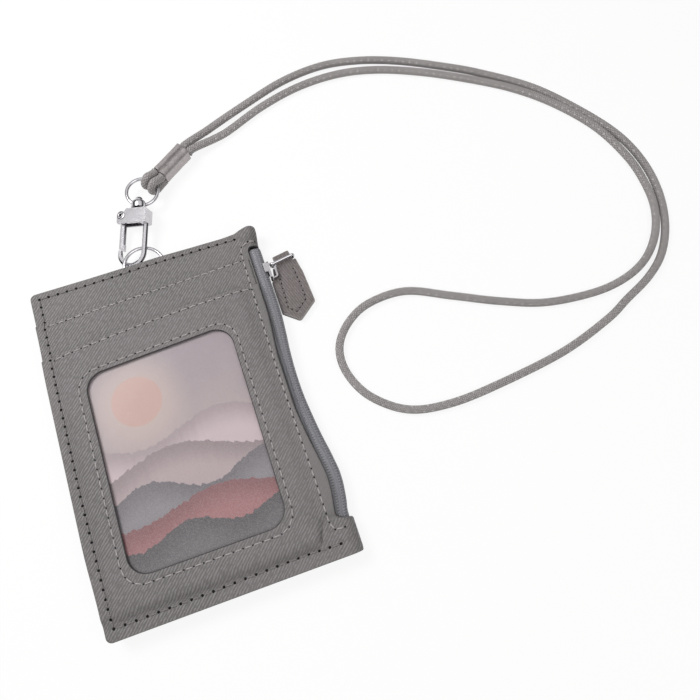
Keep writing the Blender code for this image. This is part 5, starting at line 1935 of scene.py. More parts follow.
class Holder:
    """Shapes that the leather pieces of the body share."""

    left = -39.0
    top = 56.05
    corner = 1.9
    leather = 0.9
    lift = 4.3
    depth = 6.25
    nose_x = 34.975
    nose_radius = 3.125
    middle = 3.125
    gap = 0.15
    panel_edge = 33.5
    panel_high = 7.9
    slot_level = 6.4
    slot_panel_edge = 33.4
    slot_panel_low = -42.0
    window_edge = 34.0
    slot_edge = 34.35
    slot_far = 43.1
    slot_low = -44.5
    slot_high = 49.7
    wave = (
        (-60.0, 0.1), (-50.0, 0.1), (-43.6, 0.1), (-40.5, 0.75), (-37.5, 1.22), (-34.4, 1.55),
        (-31.0, 1.58), (-27.7, 1.21), (-24.2, 0.76), (-20.7, 0.16), (-17.2, -0.32), (-13.5, -0.75),
        (-5.0, -1.5), (3.0, -1.6), (11.0, -1.2), (18.0, -0.5), (25.0, 0.0), (40.0, 0.0), (60.0, 0.0),
    )

    @classmethod
    def rise(cls, x: float, y: float) -> float:
        """Height of the back's underside over the table."""
        flat = (1 - smooth(y, 33.0, 49.0)) * (1 - smooth(x, -27.0, -37.0)) * (1 - smooth(y, -40.0, -52.0))
        return cls.lift * (1 - flat) * (1 - smooth(x, 18.0, 29.0))

    @classmethod
    def turn_back(cls) -> float:
        """Flat coordinate at which the body's sheet leaves the nose for the back."""
        return cls.nose_x + math.pi * cls.nose_radius

    @classmethod
    def back(cls, x: float) -> float:
        """Flat coordinate of a place on the back."""
        return cls.turn_back() + cls.nose_x - x

    @classmethod
    def face(cls, s: float, y: float) -> Vector:
        """Outer face of the body's sheet, from the front round the nose to the back.

        Args:
            s: Flat coordinate across, which is x on the front.
            y: Height on the holder.

        Returns:
            The point.
        """
        if s <= cls.nose_x:
            proud = cls.proud(s, y)
            out = (0.7 * proud + cls.bulge(y)) * smooth(s, 31.0, cls.nose_x)
            return Vector((s + out, y + 0.22 * proud, cls.depth + proud))
        if s < cls.turn_back():
            angle = (s - cls.nose_x) / cls.nose_radius
            proud = cls.proud(s, y) * (1 + math.cos(angle)) / 2
            out = 0.7 * proud + cls.bulge(y) * smooth(angle, math.pi, 2.0)
            x = cls.nose_x + cls.nose_radius * math.sin(angle) + out
            return Vector((x, y + 0.22 * proud, cls.middle + cls.nose_radius * math.cos(angle) + proud))
        x = cls.nose_x - (s - cls.turn_back())
        return Vector((x, y, cls.rise(x, y)))

    @staticmethod
    def proud(x: float, y: float) -> float:
        """Height by which the fold's upper corner stands proud of the front."""
        return 1.95 * smooth(x, 31.0, 35.2) * smooth(y, 49.9, 55.0)

    @staticmethod
    def bulge(y: float) -> float:
        """How far the fold stands out below the zip, where it is filled."""
        return 0.5 * smooth(y, -44.3, -46.2) * (1 - 0.5 * smooth(y, -54.8, -56.05))

    @staticmethod
    def inset(y: float) -> float:
        """How far the left edge draws in towards its corners."""
        return 0.33 * smooth(y, 22.0, 40.0) + 0.65 * smooth(y, -28.0, -48.0)

    @classmethod
    def sway(cls, y: float) -> float:
        """How far the zip's tapes and the leather beside them stand out, or in, at a height.

        Args:
            y: Height on the holder.

        Returns:
            The distance, above 0 where they stand out.
        """
        rows = cls.wave
        for i in range(1, len(rows) - 2):
            (ya, a), (yb, b) = rows[i], rows[i + 1]
            if y <= yb:
                t = min(1.0, max(0.0, (y - ya) / (yb - ya)))
                slope_a = (b - rows[i - 1][1]) / (yb - rows[i - 1][0]) * (yb - ya)
                slope_b = (rows[i + 2][1] - a) / (rows[i + 2][0] - ya) * (yb - ya)
                first = a * (1 + 2 * t) * (1 - t) ** 2 + slope_a * t * (1 - t) ** 2
                return first + b * t * t * (3 - 2 * t) + slope_b * t * t * (t - 1)
        return 0.0

    @classmethod
    def edge_shift(cls, y: float) -> float:
        """How far the leather's edge beside the zip follows the tapes."""
        return max(-1.3, cls.sway(y))

    @classmethod
    def panel_level(cls, x: float, y: float) -> float:
        """Height of the window panel's underside, pressed down along its seams.

        Args:
            x: Place across.
            y: Height on the holder.

        Returns:
            The underside's z.
        """
        sides = max(smooth(x, -32.5, -35.5), smooth(x, 26.5, 30.5))
        level = cls.panel_high - 0.7 * sides
        right = smooth(x, 26.5, 30.5)
        start = -48.5 + 6.3 * right
        end = -51.5 + 7.6 * right
        return level + (cls.slot_level - level) * smooth(y, start, end)

    @classmethod
    def panel_face(cls, s: float, y: float) -> Vector:
        """Underside of the window panel, flat and then round the nose.

        Args:
            s: Flat coordinate across, which is x on the front.
            y: Height on the holder.

        Returns:
            The point.
        """
        if s <= cls.nose_x:
            out = cls.bulge(y) * smooth(s, 31.0, cls.nose_x)
            return Vector((s + out, y, cls.panel_level(min(s, cls.panel_edge), y)))
        radius = cls.nose_radius + cls.gap
        angle = (s - cls.nose_x) / radius
        level = cls.panel_level(cls.panel_edge, y) - cls.slot_level
        x = cls.nose_x + radius * math.sin(angle) + cls.bulge(y)
        return Vector((x, y, cls.middle + radius * math.cos(angle) + level))

    @staticmethod
    def panel_top(x: float) -> float:
        """Upper edge of the window panel, which bows up a little."""
        return 31.5 + 3.95 * math.sin(math.pi / 2 * min(1.0, (x - Holder.left) / 58.0))

    @staticmethod
    def slot_top(x: float) -> float:
        """Upper edge of the slot panel."""
        return 44.1 + 1.5 * (x - Holder.left) / 72.4


class Layer(Enum):
    """The leather layers that a row of stitches can lie on."""

    BODY = "body"
    SLOT = "slot"
    WINDOW = "window"


@dataclass
class Seam:
    """One row of stitches on the holder.

    Attributes:
        line: Where it runs, in flat coordinates.
        pitch: Distance between its holes.
        part: Share of the pitch that its threads cover.
        hole: Radius of its holes.
        thread: Radius of its thread.
        pale: Whether its thread is paler than the leather.
        layer: The layer it lies on, or none where it crosses several on the front.
    """

    line: list[Point]
    pitch: float = 3.2
    part: float = 0.70
    hole: float = 0.44
    thread: float = 0.22
    pale: bool = False
    layer: Layer | None = None


@dataclass
class LeatherWork:
    """The body's leather, its two front panels and the stitches through them."""

    sheets: dict[Layer, Sheet] = field(default_factory=dict)
    seams: list[Seam] = field(default_factory=list)
    rim_gap: float = 1.1
    hole_gap: float = 1.6

    def window(self, margin: float = 0.0) -> list[Point]:
        """Outline of the window, grown by a margin."""
        return rounded((
            (-27.0 - margin, -41.2 - margin, 6.0), (20.65 + margin, -41.2 - margin, 6.0),
            (20.65 + margin, 24.35 + margin, 6.0), (-27.0 - margin, 21.9 + margin, 6.0),
        ), steps=12)

    def plan(self) -> None:
        """Lays out the seams and the sheets, and presses the leather along the seams."""
        window = rounded((
            (-29.5, -43.7, 6.5), (22.8, -43.7, 6.5), (22.5, 26.2, 6.5), (-29.5, 23.4, 6.5),
        ), steps=12)
        left = [(-35.5, -52.4), (-35.8, -33.0), (-36.2, -14.0), (-36.1, 18.0), (-35.8, 53.3)]
        low = [(-35.5, -52.5), (-6.0, -52.2), (8.0, -51.85), (22.0, -51.6), (33.1, -51.95)]
        high = [(-35.8, 53.3), (-13.0, 53.5), (1.0, 54.0), (15.0, 53.95), (26.0, 53.9), (31.0, 53.9)]
        self.seams = [
            Seam(left, pitch=2.79),
            Seam(high, pitch=3.1),
            Seam(low, pitch=3.28),
            Seam([(-34.6, 42.9), (-28.0, 43.17), (-14.0, 43.7), (14.0, 44.4), (30.8, 45.1)],
                 pitch=2.9, part=0.62, hole=0.25, thread=0.2, pale=True),
            Seam([(-34.6, 30.5), (-28.0, 31.45), (-14.0, 32.7), (0.0, 33.6), (14.0, 34.15), (30.8, 34.2)],
                 pitch=2.95, part=0.62, hole=0.25, thread=0.2, pale=True),
            Seam([*window, window[0]], pitch=3.0, part=0.62, hole=0.25, thread=0.2, pale=True),
            Seam([(37.7, 51.3), (33.5, 51.4), (31.8, 49.8), (31.5, 34.0), (31.3, 13.0), (31.4, -8.0),
                  (31.9, -32.0), (31.9, -46.4), (32.9, -47.7), (35.5, -47.8)],
                 pitch=2.8, part=0.6, hole=0.27, thread=0.22, pale=True),
        ]
        back = Holder.back
        self.seams += [
            Seam([(back(x), y) for x, y in left], pitch=2.79, layer=Layer.BODY),
            Seam([(back(x), y) for x, y in high], pitch=3.1, layer=Layer.BODY),
            Seam([(back(x), y) for x, y in low], pitch=3.28, layer=Layer.BODY),
            Seam([(back(31.5), -47.0), (back(31.5), 50.0)], pitch=2.8, part=0.6, hole=0.27, pale=True,
                 layer=Layer.BODY),
        ]
        left_low = Holder.left + Holder.inset(-Holder.top)
        left_high = Holder.left + Holder.inset(Holder.top)
        left_side = [(Holder.left + Holder.inset(y), y, 0.0) for y in spread(52.0, -52.0, 30)]
        body = rounded((
            (left_low, -Holder.top, Holder.corner), (back(left_low), -Holder.top, Holder.corner),
            *((back(x), y, 0.0) for x, y, _ in left_side[::-1]),
            (back(left_high), Holder.top - 0.3, Holder.corner), (back(26.0), Holder.top - 0.3, 3.0),
            (back(32.0), Holder.top, 3.0), (33.0, Holder.top, 3.0), (27.0, Holder.top - 0.4, 3.0),
            (15.0, Holder.top - 0.3, 0.0), (5.0, Holder.top - 0.12, 0.0), (-8.0, Holder.top - 0.35, 0.0),
            (-20.0, Holder.top - 0.5, 0.0), (left_high, Holder.top - 0.5, Holder.corner), *left_side,
        ), steps=8)

        def beside(x: float, high: float, most: float = 9.0) -> list[Corner]:
            """Corners of an edge that follows the zip's tapes, upwards."""
            return [(x + min(most, Holder.edge_shift(y)), y, 0.0) for y in spread(-40.5, high, 40)]

        slot_x = Holder.slot_edge + Holder.edge_shift(Holder.slot_low)
        zip_slot = rounded((
            (slot_x, Holder.slot_low, 1.8), (36.4, Holder.slot_low - 0.1, 1.0),
            (37.6, Holder.slot_low - 0.7, 1.0), (Holder.slot_far, Holder.slot_low - 0.7, 1.0),
            (Holder.slot_far, Holder.slot_high, 1.6), (Holder.slot_edge, Holder.slot_high, 1.6),
            *beside(Holder.slot_edge, 44.0)[::-1],
        ), steps=8)[::-1]
        self.sheets[Layer.BODY] = Sheet(
            Holder.face, body, [zip_slot], low=-Holder.leather, high=0.0, edge=0.22,
            spacing=lambda s: 0.5 if 33.5 < s < 46.0 else 0.9,
        )
        edge = Holder.slot_panel_edge
        foot = Holder.slot_panel_low
        slot_panel = rounded((
            (Holder.left + Holder.inset(foot), foot, 0.3), (edge, foot, 0.3), *beside(edge, 40.0, 0.0),
            (edge, Holder.slot_top(edge), 0.4), (left_high, Holder.slot_top(Holder.left), 0.4),
            *(corner for corner in left_side if -40.0 < corner[1] < 42.0),
        ))
        self.sheets[Layer.SLOT] = Sheet(
            lambda x, y: Vector((x, y, Holder.slot_level)), slot_panel, low=0.0, high=0.65, edge=0.2,
        )
        edge = Holder.window_edge
        end = Holder.nose_x + (Holder.nose_radius + Holder.gap) * math.radians(100)
        window_panel = rounded((
            (left_low, -Holder.top, 1.9), (end, -Holder.top, 1.5), (end, -46.0, 1.8), (37.4, -45.3, 0.8),
            (edge + Holder.edge_shift(-44.0), -44.6, 1.8), *beside(edge, 31.0),
            (edge, Holder.panel_top(edge), 0.5), (20.0, Holder.panel_top(20.0), 0.0),
            *((x, Holder.panel_top(x), 0.0) for x in spread(16.0, -36.0, 13)),
            (Holder.left + Holder.inset(31.0), Holder.panel_top(Holder.left), 0.4),
            *(corner for corner in left_side if corner[1] < 28.0),
        ), steps=8)
        self.sheets[Layer.WINDOW] = Sheet(
            Holder.panel_face, window_panel, [self.window()[::-1]], low=0.0, high=0.75, edge=0.26,
            spacing=lambda s: 0.5 if s > 33.5 else 0.9,
        )
        self.place_holes()

    def layer_at(self, x: float, y: float) -> Layer:
        """Topmost layer under a point of the front.

        Args:
            x: Place across.
            y: Height on the holder.

        Returns:
            The layer.
        """
        if y < Holder.panel_top(x) and (x < Holder.window_edge or y < -44.0):
            return Layer.WINDOW
        if Holder.slot_panel_low < y < Holder.slot_top(x) and x < Holder.slot_panel_edge:
            return Layer.SLOT
        return Layer.BODY

    def place_holes(self) -> None:
        """Gives each sheet its needle holes and the press along its seams."""
        marks: dict[Layer, list[Point]] = {layer: [] for layer in Layer}
        tracks: dict[Layer, list[Point]] = {layer: [] for layer in Layer}
        for seam in self.seams:
            for point in even_points(seam.line, seam.pitch):
                layer = seam.layer or self.layer_at(*point)
                marks[layer].append(point)
            for point in even_points(seam.line, 0.5):
                tracks[seam.layer or self.layer_at(*point)].append(point)
        for layer, sheet in self.sheets.items():
            loops = [densified(loop, 0.5) for loop in [sheet.outline, *sheet.holes]]
            rim = tree_of([point for loop in loops for point in loop])
            kept: list[Point] = []
            for point in marks[layer]:
                far = rim.find((*point, 0.0))[2]
                near = min((math.dist(point, other) for other in kept), default=9.0)
                if far > self.rim_gap and near > self.hole_gap:
                    kept.append(point)
            sheet.pits = kept
            sheet.relief = self.press(tracks[layer], kept)

    @staticmethod
    def press(track: Sequence[Point], pits: Sequence[Point]) -> Callable[[float, float], float]:
        """Dip of the leather along the seams and at their holes.

        Args:
            track: Points along the seams.
            pits: The holes.

        Returns:
            The rise at flat coordinates, negative where the leather is pressed.
        """
        seam = tree_of(track)
        holes = tree_of(pits)
        seam_dip, seam_reach = 0.10, 0.9
        hole_dip, hole_reach = 0.22, 0.34

        def rise(s: float, y: float) -> float:
            """Rise at flat coordinates.

            Args:
                s: First flat coordinate.
                y: Second flat coordinate.

            Returns:
                The rise, below 0 where the leather is pressed in.
            """
            result = 0.0
            if track:
                far = seam.find((s, y, 0.0))[2]
                result -= seam_dip * math.exp(-(far / seam_reach) ** 2)
            if pits:
                far = holes.find((s, y, 0.0))[2]
                result -= hole_dip * math.exp(-(far / hole_reach) ** 2)
            return result

        return rise

    def build(self, finishes: dict[str, Material]) -> None:
        """Makes the three sheets and their stitches.

        Args:
            finishes: Materials by name.
        """
        # The fourth material edges the openings: a dark cut edge with painted shade of the gap beside it,
        # near black.
        materials = [finishes[name] for name in ("body_leather", "edge", "backing", "opening_edge_painted_shade")]
        rows = (
            (Layer.BODY, "body_leather", "shell"), (Layer.SLOT, "slot_leather", "slot_panel"),
            (Layer.WINDOW, "window_leather", "window_panel"),
        )
        for layer, name, node in rows:
            self.sheets[layer].shape().build(name, Body.HOLDER, "leather", materials, [node])
        self.stitch(finishes)

    def stitch(self, finishes: dict[str, Material]) -> None:
        """Makes the threads and the insides of the holes, painted dark for the shade in them.

        Args:
            finishes: Materials by name.
        """
        holes = Shape()
        threads = Shape()
        for seam in self.seams:
            sew(
                holes, threads, seam,
                lambda x, y, layer=seam.layer: self.sheets[layer or self.layer_at(x, y)],
            )
        threads.build("threads", Body.HOLDER, "leather", [finishes["thread"], finishes["pale_thread"]])
        holes.build("needle_holes", Body.HOLDER, "leather", [finishes["hole"]])


def add_hole(shape: Shape, sheet: Sheet, x: float, y: float, radius: float) -> None:
    """Adds the inside of a needle hole, painted dark for the shade in it.

    Args:
        shape: Where it goes.
        sheet: The sheet that it is in.
        x: Its first flat coordinate.
        y: Its second flat coordinate.
        radius: Its radius.
    """
    count = 10
    start = len(shape.points)
    middle, normal = sheet.base(x, y)
    for turn in turns_of(count):
        shape.points.append(sheet.at(x + radius * math.cos(turn), y + radius * math.sin(turn), 0.03))
    level = sum((point - middle).dot(normal) for point in shape.points[start:]) / count
    for turn in turns_of(count):
        inner = sheet.base(x + 0.6 * radius * math.cos(turn), y + 0.6 * radius * math.sin(turn))
        shape.points.append(inner[0] + inner[1] * (level - 0.01))
    shape.points.append(middle + normal * (level - 0.03))
    shape.dish(start, count)


def add_thread(shape: Shape, sheet: Sheet, here: Point, there: Point, seam: Seam) -> None:
    """Adds one stitch's thread, arched from hole to hole.

    Args:
        shape: Where it goes.
        sheet: The sheet that it lies on.
        here: Its first hole.
        there: Its last hole.
        seam: The seam that it belongs to.
    """
    line = []
    for t in spread((1 - seam.part) / 2, (1 + seam.part) / 2, 8):
        x = here[0] + (there[0] - here[0]) * t
        y = here[1] + (there[1] - here[1]) * t
        across = (2 * (t - 0.5) / seam.part)
        height = 0.62 * seam.thread - seam.thread * 1.7 * across ** 6
        line.append(sheet.at(x, y, height))
    shape.tube(
        line, seam.thread, 8, kind=1 if seam.pale else 0,
        swell=lambda length, turn: 0.82 + 0.18 * math.sin(min(1.0, length / 0.5) * math.pi / 2),
        first_up=sheet.base(*here)[1],
    )


def sew(holes: Shape, threads: Shape, seam: Seam, sheet_at: Callable[[float, float], Sheet]) -> None:
    """Adds the holes and threads of one seam.

    Args:
        holes: Where the holes go.
        threads: Where the threads go.
        seam: The seam.
        sheet_at: The sheet under flat coordinates.
    """
    points = even_points(seam.line, seam.pitch)
    for x, y in points:
        add_hole(holes, sheet_at(x, y), x, y, seam.hole)
    for here, there in zip(points, points[1:]):
        add_thread(threads, sheet_at(*between(here, there, 0.5)), here, there, seam)


@dataclass
class ZipWork:
    """Tapes of the zip, and the pocket's linings behind them."""

    tape: float = 0.40
    low: float = -45.4
    high: float = 49.3
    edge_x: float = 29.5
    bend_x: float = 36.8
    bend_radius: float = 1.6
    level: float = 5.15
    slit: float = 1.0
    lining: float = 0.20
    teeth_low: float = -41.0
    teeth_high: float = 43.1
    tooth_pitch: float = 1.4

    def section(self) -> list[Point]:
        """Section of the front tape's outer face in x and z.

        Returns:
            Points of the section, round its bend last.
        """
        centre = self.level - self.bend_radius
        end = math.degrees(math.asin((Holder.middle + self.slit / 2 - centre) / self.bend_radius))
        return [(self.edge_x, self.level)] + arc((self.bend_x, centre), self.bend_radius, 90, end, 20)

    def tapes(self, finishes: dict[str, Material]) -> None:
        """Makes the two tapes, ribbed lengthwise and rounded at their upper ends.

        Args:
            finishes: Materials by name.
        """
        front = self.section()
        mirror = [(x, 2 * Holder.middle - z) for x, z in front][::-1]
        top = self.high - 0.3
        for name, line in (("tape_front", front), ("tape_back", mirror)):
            profile = Profile(line)
            is_front = line is front
            wide = profile.long

            def place(s: float, y: float, profile: Profile = profile) -> Vector:
                """Point of the tape's outer face."""
                x, z = profile.at(s)
                return Vector((x + Holder.sway(y) * smooth(x, 33.6, 36.6), y, z))

            def ribs(s: float, y: float, is_front: bool = is_front, wide: float = wide) -> float:
                """Dip between the tape's ribs."""
                far = s if is_front else wide - s
                return -0.05 + 0.05 * math.sin(2 * math.pi * far / RIB_PITCH)

            corners = [
                (0.0, self.low, 0.3), (4.6, self.low, 0.3), (wide, self.low, 0.8),
                (wide, top, 1.4), (4.5, top, 2.1), (4.0, 46.0, 0.4), (0.0, 46.0, 0.3),
            ]
            if not is_front:
                corners = [(wide - s, y, r) for s, y, r in corners][::-1]
            sheet = Sheet(
                place, rounded(corners, steps=8), low=-self.tape, high=0.0, edge=0.15, step=0.8,
                spacing=lambda s: 0.31, relief=ribs,
            )
            sheet.shape().build(
                name, Body.HOLDER, "tape", [finishes["tape"], finishes["tape_edge"], finishes["tape_edge"]],
                ["zip_" + name],
            )

    def teeth(self, finish: Material) -> None:
        """Makes the two rows of teeth on their cores, which follow the tapes' edges.

        Args:
            finish: The metal.
        """
        for name, side in (("teeth_front", 1), ("teeth_back", -1)):
            row = Shape()
            self.add_bar(row, spread(self.teeth_low, self.teeth_high, 120), (0.90, 1.25), side)
            count = int((self.teeth_high - self.teeth_low) / self.tooth_pitch)
            for i in range(count):
                start = self.teeth_low + i * self.tooth_pitch + self.tooth_pitch / 2
                self.add_bar(row, spread(start, start + self.tooth_pitch / 2, 2), (0.55, 0.92), side)
            row.build(name, Body.HOLDER, "teeth", [finish], ["zip_" + name])

    def add_bar(self, shape: Shape, heights: Sequence[float], depths: Point, side: int) -> None:
        """Adds a square bar beside the zip's slit, which follows the tapes.

        Args:
            shape: Shape that it is added to.
            heights: Places along the zip.
            depths: Its nearest and farthest distance from the middle of the slit.
            side: 1 for the front row and -1 for the back row.
        """
        base = len(shape.points)
        near, far = depths
        left = self.bend_x - 0.15
        right = left + 0.8
        for y in heights:
            for x, depth in ((left, near), (right, near), (right, far), (left, far)):
                shape.points.append(Vector((x + Holder.sway(y), y, Holder.middle + side * depth)))
        shape.skin(len(heights), 4, base, outward=side < 0)
        first_end = [base + k for k in range(4)]
        last_end = [base + 4 * (len(heights) - 1) + k for k in range(4)]
        shape.lid(first_end[::side])
        shape.lid(last_end[::-side])

    def linings(self, finishes: dict[str, Material]) -> list[Piece]:
        """Makes the two thin cloth linings of the zipped pocket.

        Args:
            finishes: Materials by name.

        Returns:
            The two pieces, the front one first.
        """
        outline = rounded(((-31.0, -44.8, 1.0), (29.1, -44.8, 1.0), (29.1, 41.0, 1.0), (-31.0, 41.0, 1.0)))
        depth = Holder.leather + Holder.gap

        def over_back(x: float, y: float) -> Vector:
            """Face just over the back leather's inner side.

            Args:
                x: Place across.
                y: Height on the holder.

            Returns:
                The point.
            """
            step = 0.5
            slope_x = (Holder.rise(x + step, y) - Holder.rise(x - step, y)) / (2 * step)
            slope_y = (Holder.rise(x, y + step) - Holder.rise(x, y - step)) / (2 * step)
            height = Holder.rise(x, y) + depth * math.sqrt(1 + slope_x ** 2 + slope_y ** 2)
            return Vector((x, y, height))

        made = []
        front_z = Holder.depth - depth - self.lining
        rows = (
            ("pocket_lining_front", "lining_front", lambda x, y: Vector((x, y, front_z))),
            ("pocket_lining_back", "lining_back", over_back),
        )
        for name, node, place in rows:
            sheet = Sheet(place, outline, low=0.01, high=self.lining - 0.01, edge=0.08, step=1.6)
            made.append(sheet.shape().build(name, Body.HOLDER, "lining", [finishes["lining"]] * 3, [node]))
        return made


@dataclass
class Puller:
    """Ring and folded leather tab of the zip's slider."""

    pivot: tuple[float, float, float] = (40.2, 41.9, 3.125)
    heading: float = 9.5
    long: float = 8.45
    tall: float = 2.5
    corner: float = 0.7
    wire: float = 0.45
    layer: float = 0.92
    roll: float = 1.35
    neck: Point = (1.75, 7.70)
    low_z: float = 0.2
    high_z: float = 2.2
    outline: tuple[Corner, ...] = (
        (-0.45, -4.3, 0.5), (-1.6, -5.6, 0.8), (-1.6, -17.2, 0.8), (3.7, -21.5, 1.2), (10.5, -16.1, 0.7),
        (9.85, -4.9, 4.0),
    )
    shoulder: float = -0.95
    loop: float = 1.75
    far: float = 24.0

    def frame(self) -> Matrix:
        """Frame of the puller, X along the ring's long legs."""
        return turned(Vector(self.pivot), self.heading)

    def ring(self, finish: Material) -> None:
        """Makes the flat wire ring.

        Args:
            finish: The metal.
        """
        half = self.tall / 2
        corners = (
            (0.0, -half, self.corner), (self.long, -half, self.corner),
            (self.long, half, self.corner), (0.0, half, self.corner),
        )
        place = self.frame()
        line = [place @ Vector((x, 0.0, z)) for x, z in densified(rounded(corners, steps=8), 0.4)]
        shape = Shape()
        shape.tube(line, self.wire, 18, closed=True, first_up=place.to_3x3() @ Vector((0, 1, 0)))
        shape.build("pull_ring", Body.PULLER, "nickel", [finish], ["puller_ring"])

    def fold(self) -> Profile:
        """Section of the tab's outer face, from the front layer's foot over the roll to the back's.

        Returns:
            The section with its lengths.
        """
        leg = -self.tall / 2
        front = self.high_z - self.pivot[2]
        back = self.low_z - self.pivot[2]
        radius = self.roll
        line = [(-self.far, front)]
        top = leg + radius
        for t in spread(0.0, 1.0, 10):
            line.append((-3.2 + 3.4 * t, front + (top - front) * smooth(t, 0.0, 1.0)))
        line += arc((self.loop, leg), radius, 85, -90, 24)
        for t in spread(0.1, 1.0, 6):
            line.append((self.loop - 2.6 * t, leg - radius + (back - leg + radius) * smooth(t, 0.0, 1.0)))
        line.append((-self.far, back))
        return Profile(line)

    def flat_outline(self, profile: Profile) -> list[Point]:
        """Outline of the unfolded tab: front half, neck and back half.

        Args:
            profile: Section of the tab.

        Returns:
            Points of the outline.
        """
        place = self.frame().to_3x3().inverted()
        local = []
        for x, y, radius in self.outline:
            point = place @ Vector((x, y, 0.0))
            local.append((point.x, point.y, radius))
        neck_low = self.far + self.shoulder
        neck_high = profile.long - self.far - self.shoulder
        front = [(x, self.far + y, r) for x, y, r in local]
        first = (self.neck[0] - 1.7, neck_low, 0.6)
        last = (self.neck[1] + 1.1, neck_low, 0.5)
        mirror = [(x, profile.long - (self.far + y), r) for x, y, r in local]
        corners = [
            *front[1:], last, (self.neck[1], neck_low, 0.15),
            (self.neck[1], neck_high, 0.15), (last[0], neck_high, 0.6), *mirror[::-1],
            (first[0], neck_high, 0.6), (self.neck[0], neck_high, 0.15),
            (self.neck[0], neck_low, 0.15), first, front[0],
        ]
        return rounded(corners, steps=6)

    def tab(self, finishes: dict[str, Material]) -> None:
        """Makes the leather folded round the ring's lower leg, sewn along its edges.

        Args:
            finishes: Materials by name.
        """
        profile = self.fold()
        place = self.frame()

        def face(x: float, q: float) -> Vector:
            """Point of the tab's outer face."""
            y, z = profile.at(q)
            return place @ Vector((x, y, z))

        sheet = Sheet(face, self.flat_outline(profile), low=-self.layer, high=0.0, edge=0.26, step=0.6)
        holes = Shape()
        threads = Shape()
        inward = place.to_3x3().inverted()
        way = ((7.0, -2.8), (7.6, -9.3), (7.75, -14.6), (3.6, -18.2), (1.0, -15.9), (1.5, -3.4))
        line = [tuple((inward @ Vector((x, y, 0.0))).xy) for x, y in way]
        seam = Seam([(x, self.far + y) for x, y in line], pitch=1.8, part=0.66, hole=0.26, thread=0.17)
        sheet.pits = even_points(seam.line, seam.pitch)
        sheet.pit_radius = 0.28
        sheet.relief = LeatherWork.press(even_points(seam.line, 0.5), sheet.pits)
        sew(holes, threads, seam, lambda x, y: sheet)
        sheet.shape().build(
            "pull_tab", Body.PULLER_TAB, "leather",
            [finishes["tab_leather"], finishes["tab_edge"], finishes["tab_leather"]], ["puller_leather"],
        )
        threads.build("pull_tab_threads", Body.PULLER_TAB, "leather", [finishes["thread"]])
        holes.build("pull_tab_holes", Body.PULLER_TAB, "leather", [finishes["hole"]])


@dataclass
class RingTab:
    """Leather strip on the back that holds the lower ring."""

    wide: float = 5.0
    thick: float = 0.6
    end: float = 41.5
    tunnel: float = 1.355
    fold_at: tuple[float, float, float] = (-0.9, 49.8, 2.3498)

    def middle(self) -> list[Point]:
        """Middle line of the strip in y and z.

        Returns:
            Points of the line, from one layer round the ring to the other.
        """
        half = self.thick / 2
        loop = self.tunnel + half
        centre_y = self.fold_at[1] + 1.55 - loop + half
        centre_z = self.fold_at[2] - 0.105

        def upper(y: float) -> Point:
            """Point just under the back leather."""
            return (y, Holder.rise(0.0, y) - Holder.gap - half)

        def lower(y: float) -> Point:
            """Point a layer further down."""
            return (y, upper(y)[1] - self.thick - Holder.gap)

        line = [upper(y) for y in (self.end, self.end + 2.5, self.end + 5.0)]
        line.append((centre_y - 1.6, centre_z + loop - 0.10))
        line += arc((centre_y, centre_z), loop, 90, -90, 16)
        line += [(centre_y - 1.5, centre_z - loop + 0.12), (centre_y - 3.0, centre_z - loop + 1.1)]
        line += [lower(y) for y in (self.end + 4.6, self.end + 2.5, self.end)]
        return line

    def build(self, finishes: dict[str, Material]) -> None:
        """Makes the strip with its rows of stitches.

        Args:
            finishes: Materials by name.
        """
        profile = Profile(self.middle())
        x_middle = self.fold_at[0]

        def face(q: float, x: float) -> Vector:
            """Point of the strip's middle face."""
            y, z = profile.at(q)
            return Vector((x_middle + x, y, z))

        half = self.wide / 2
        outline = rounded((
            (0.0, -half, 0.5), (profile.long, -half, 0.5), (profile.long, half, 0.5), (0.0, half, 0.5),
        ))
        sheet = Sheet(
            face, outline, low=-self.thick / 2, high=self.thick / 2, edge=0.15, step=0.5,
            spacing=lambda s: 0.3,
        )
        holes = Shape()
        threads = Shape()
        for line in (
            [(profile.long - 0.9, -1.6), (profile.long - 0.9, 1.6)],
            [(profile.long - 4.0, -1.6), (profile.long - 4.0, 1.6)],
        ):
            seam = Seam(line, pitch=1.6, part=0.7, hole=0.22, thread=0.15)
            sew(holes, threads, seam, lambda x, y: sheet)
        sheet.shape().build(
            "ring_strap", Body.HOLDER, "leather",
            [finishes["leather"], finishes["edge"], finishes["backing"]], ["ring_tab"],
        )
        threads.build("ring_strap_threads", Body.HOLDER, "leather", [finishes["thread"]])
        holes.build("ring_strap_holes", Body.HOLDER, "leather", [finishes["hole"]])


def dress(node: str, material: Material) -> None:
    """Gives a node of the frame its finish.

    Args:
        node: Name of the node.
        material: Its material.
    """
    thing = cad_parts[node]
    thing.data.materials.clear()
    thing.data.materials.append(material)
    LOG.info("%s: kept from the frame", node)


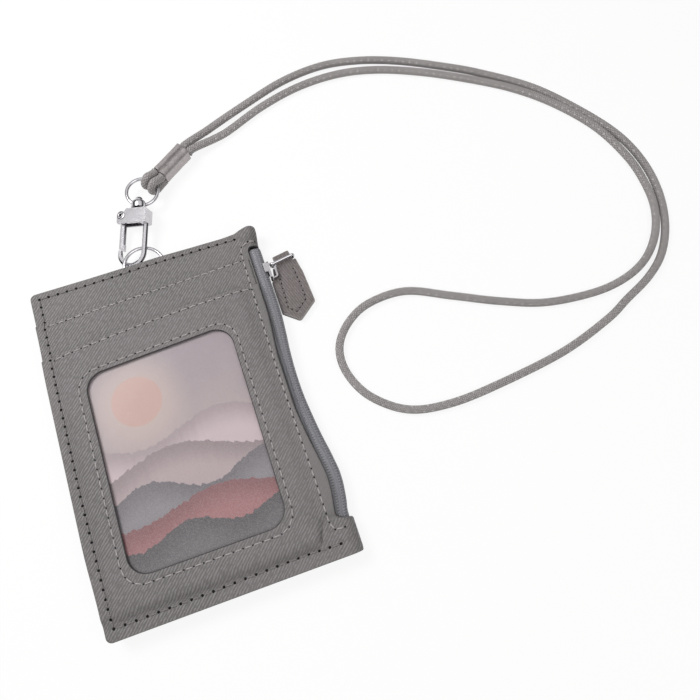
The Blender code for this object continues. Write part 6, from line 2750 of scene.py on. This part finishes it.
def make_finishes() -> dict[str, Material]:
    """All materials by name.

    Returns:
        The materials by their finishes' names.
    """
    rows: list[Finish] = [
        LeatherFinish("leather"),
        LeatherFinish("body_leather", turned_edge=True),
        LeatherFinish(
            "tab_leather", pale=(0.232, 0.205, 0.202), dark=(0.150, 0.130, 0.128), slant=100.0, depth=0.045
        ),
        EdgeFinish("edge"),
        # Edges of the window and the zip's slot: near black, partly the cut edge's own dark colour and
        # partly painted shade of the gaps there.
        EdgeFinish("opening_edge_painted_shade", colour=(0.045, 0.042, 0.042), line=(0.10, 0.095, 0.095), thick=0.75),
        EdgeFinish("tab_edge", colour=(0.30, 0.275, 0.265), line=(0.46, 0.43, 0.42)),
        ClothFinish("backing", pale=(0.12, 0.118, 0.118), dark=(0.05, 0.05, 0.05)),
        ClothFinish("lining"),
        TapeFinish("tape"),
        ClothFinish("tape_edge", pale=(0.24, 0.245, 0.265), dark=(0.10, 0.10, 0.11), thread=0.26),
        MetalFinish("nickel"),
        MetalFinish("slider", colour=(0.43, 0.415, 0.43), rough=0.26, dull=0.42),
        MetalFinish("steel", colour=(0.30, 0.30, 0.31), rough=0.30, dull=0.5),
        MetalFinish("teeth", colour=(0.16, 0.16, 0.17), rough=0.35, dull=0.55),
        CordFinish("cord"),
        CordFinish("loop_cord", flecks=0.15),
        ThreadFinish("thread", pale=(0.30, 0.28, 0.275), dark=(0.15, 0.14, 0.135)),
        ThreadFinish("pale_thread"),
        HoleFinish("hole"),
        SleeveFinish("sleeve"),
        FilmFinish("film"),
        PrintFinish("print"),
    ]
    return {row.name: row.make() for row in rows}


def main() -> None:
    """Builds and dresses the card holder."""
    logging.basicConfig(level=logging.INFO, format="%(name)s: %(message)s")
    studio = Studio()
    studio.camera()
    finishes = make_finishes()

    gear = HookGear()
    lanyard = Lanyard()
    cord, line = lanyard.cord(finishes["cord"])
    sleeve = lanyard.sleeve(finishes["sleeve"])
    loops = lanyard.loops(finishes["loop_cord"], gear.upper_frame(), gear.upper_radius)
    path = [point * MM for point in line]
    length = sum((b - a).length for a, b in zip(path, path[1:]))
    LOG.info("cord: %.4f m", length)
    tuple(path[0])
    [tuple(point) for point in path]

    gear.rings(finishes["nickel"])
    gear.bell(finishes["nickel"])
    gear.pin_head(finishes)
    leather = LeatherWork()
    leather.plan()
    leather.build(finishes)
    zips = ZipWork()
    zips.tapes(finishes)
    zips.teeth(finishes["teeth"])
    for piece in zips.linings(finishes):
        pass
    puller = Puller()
    puller.ring(finishes["nickel"])
    puller.tab(finishes)
    RingTab().build(finishes)

    kept = {
        "insert_card": "print", "window_film": "film", "zip_top_stop_front": "nickel",
        "zip_top_stop_back": "nickel", "zip_bottom_stop": "nickel", "slider_body": "slider",
        "slider_bail": "slider", "hook_body": "nickel", "gate": "nickel", "gate_pin": "steel",
        "gate_spring": "steel",
    }
    for node, finish in kept.items():
        dress(node, finishes[finish])

    studio.floor()
    studio.light()


if __name__ == "__main__":
    main()
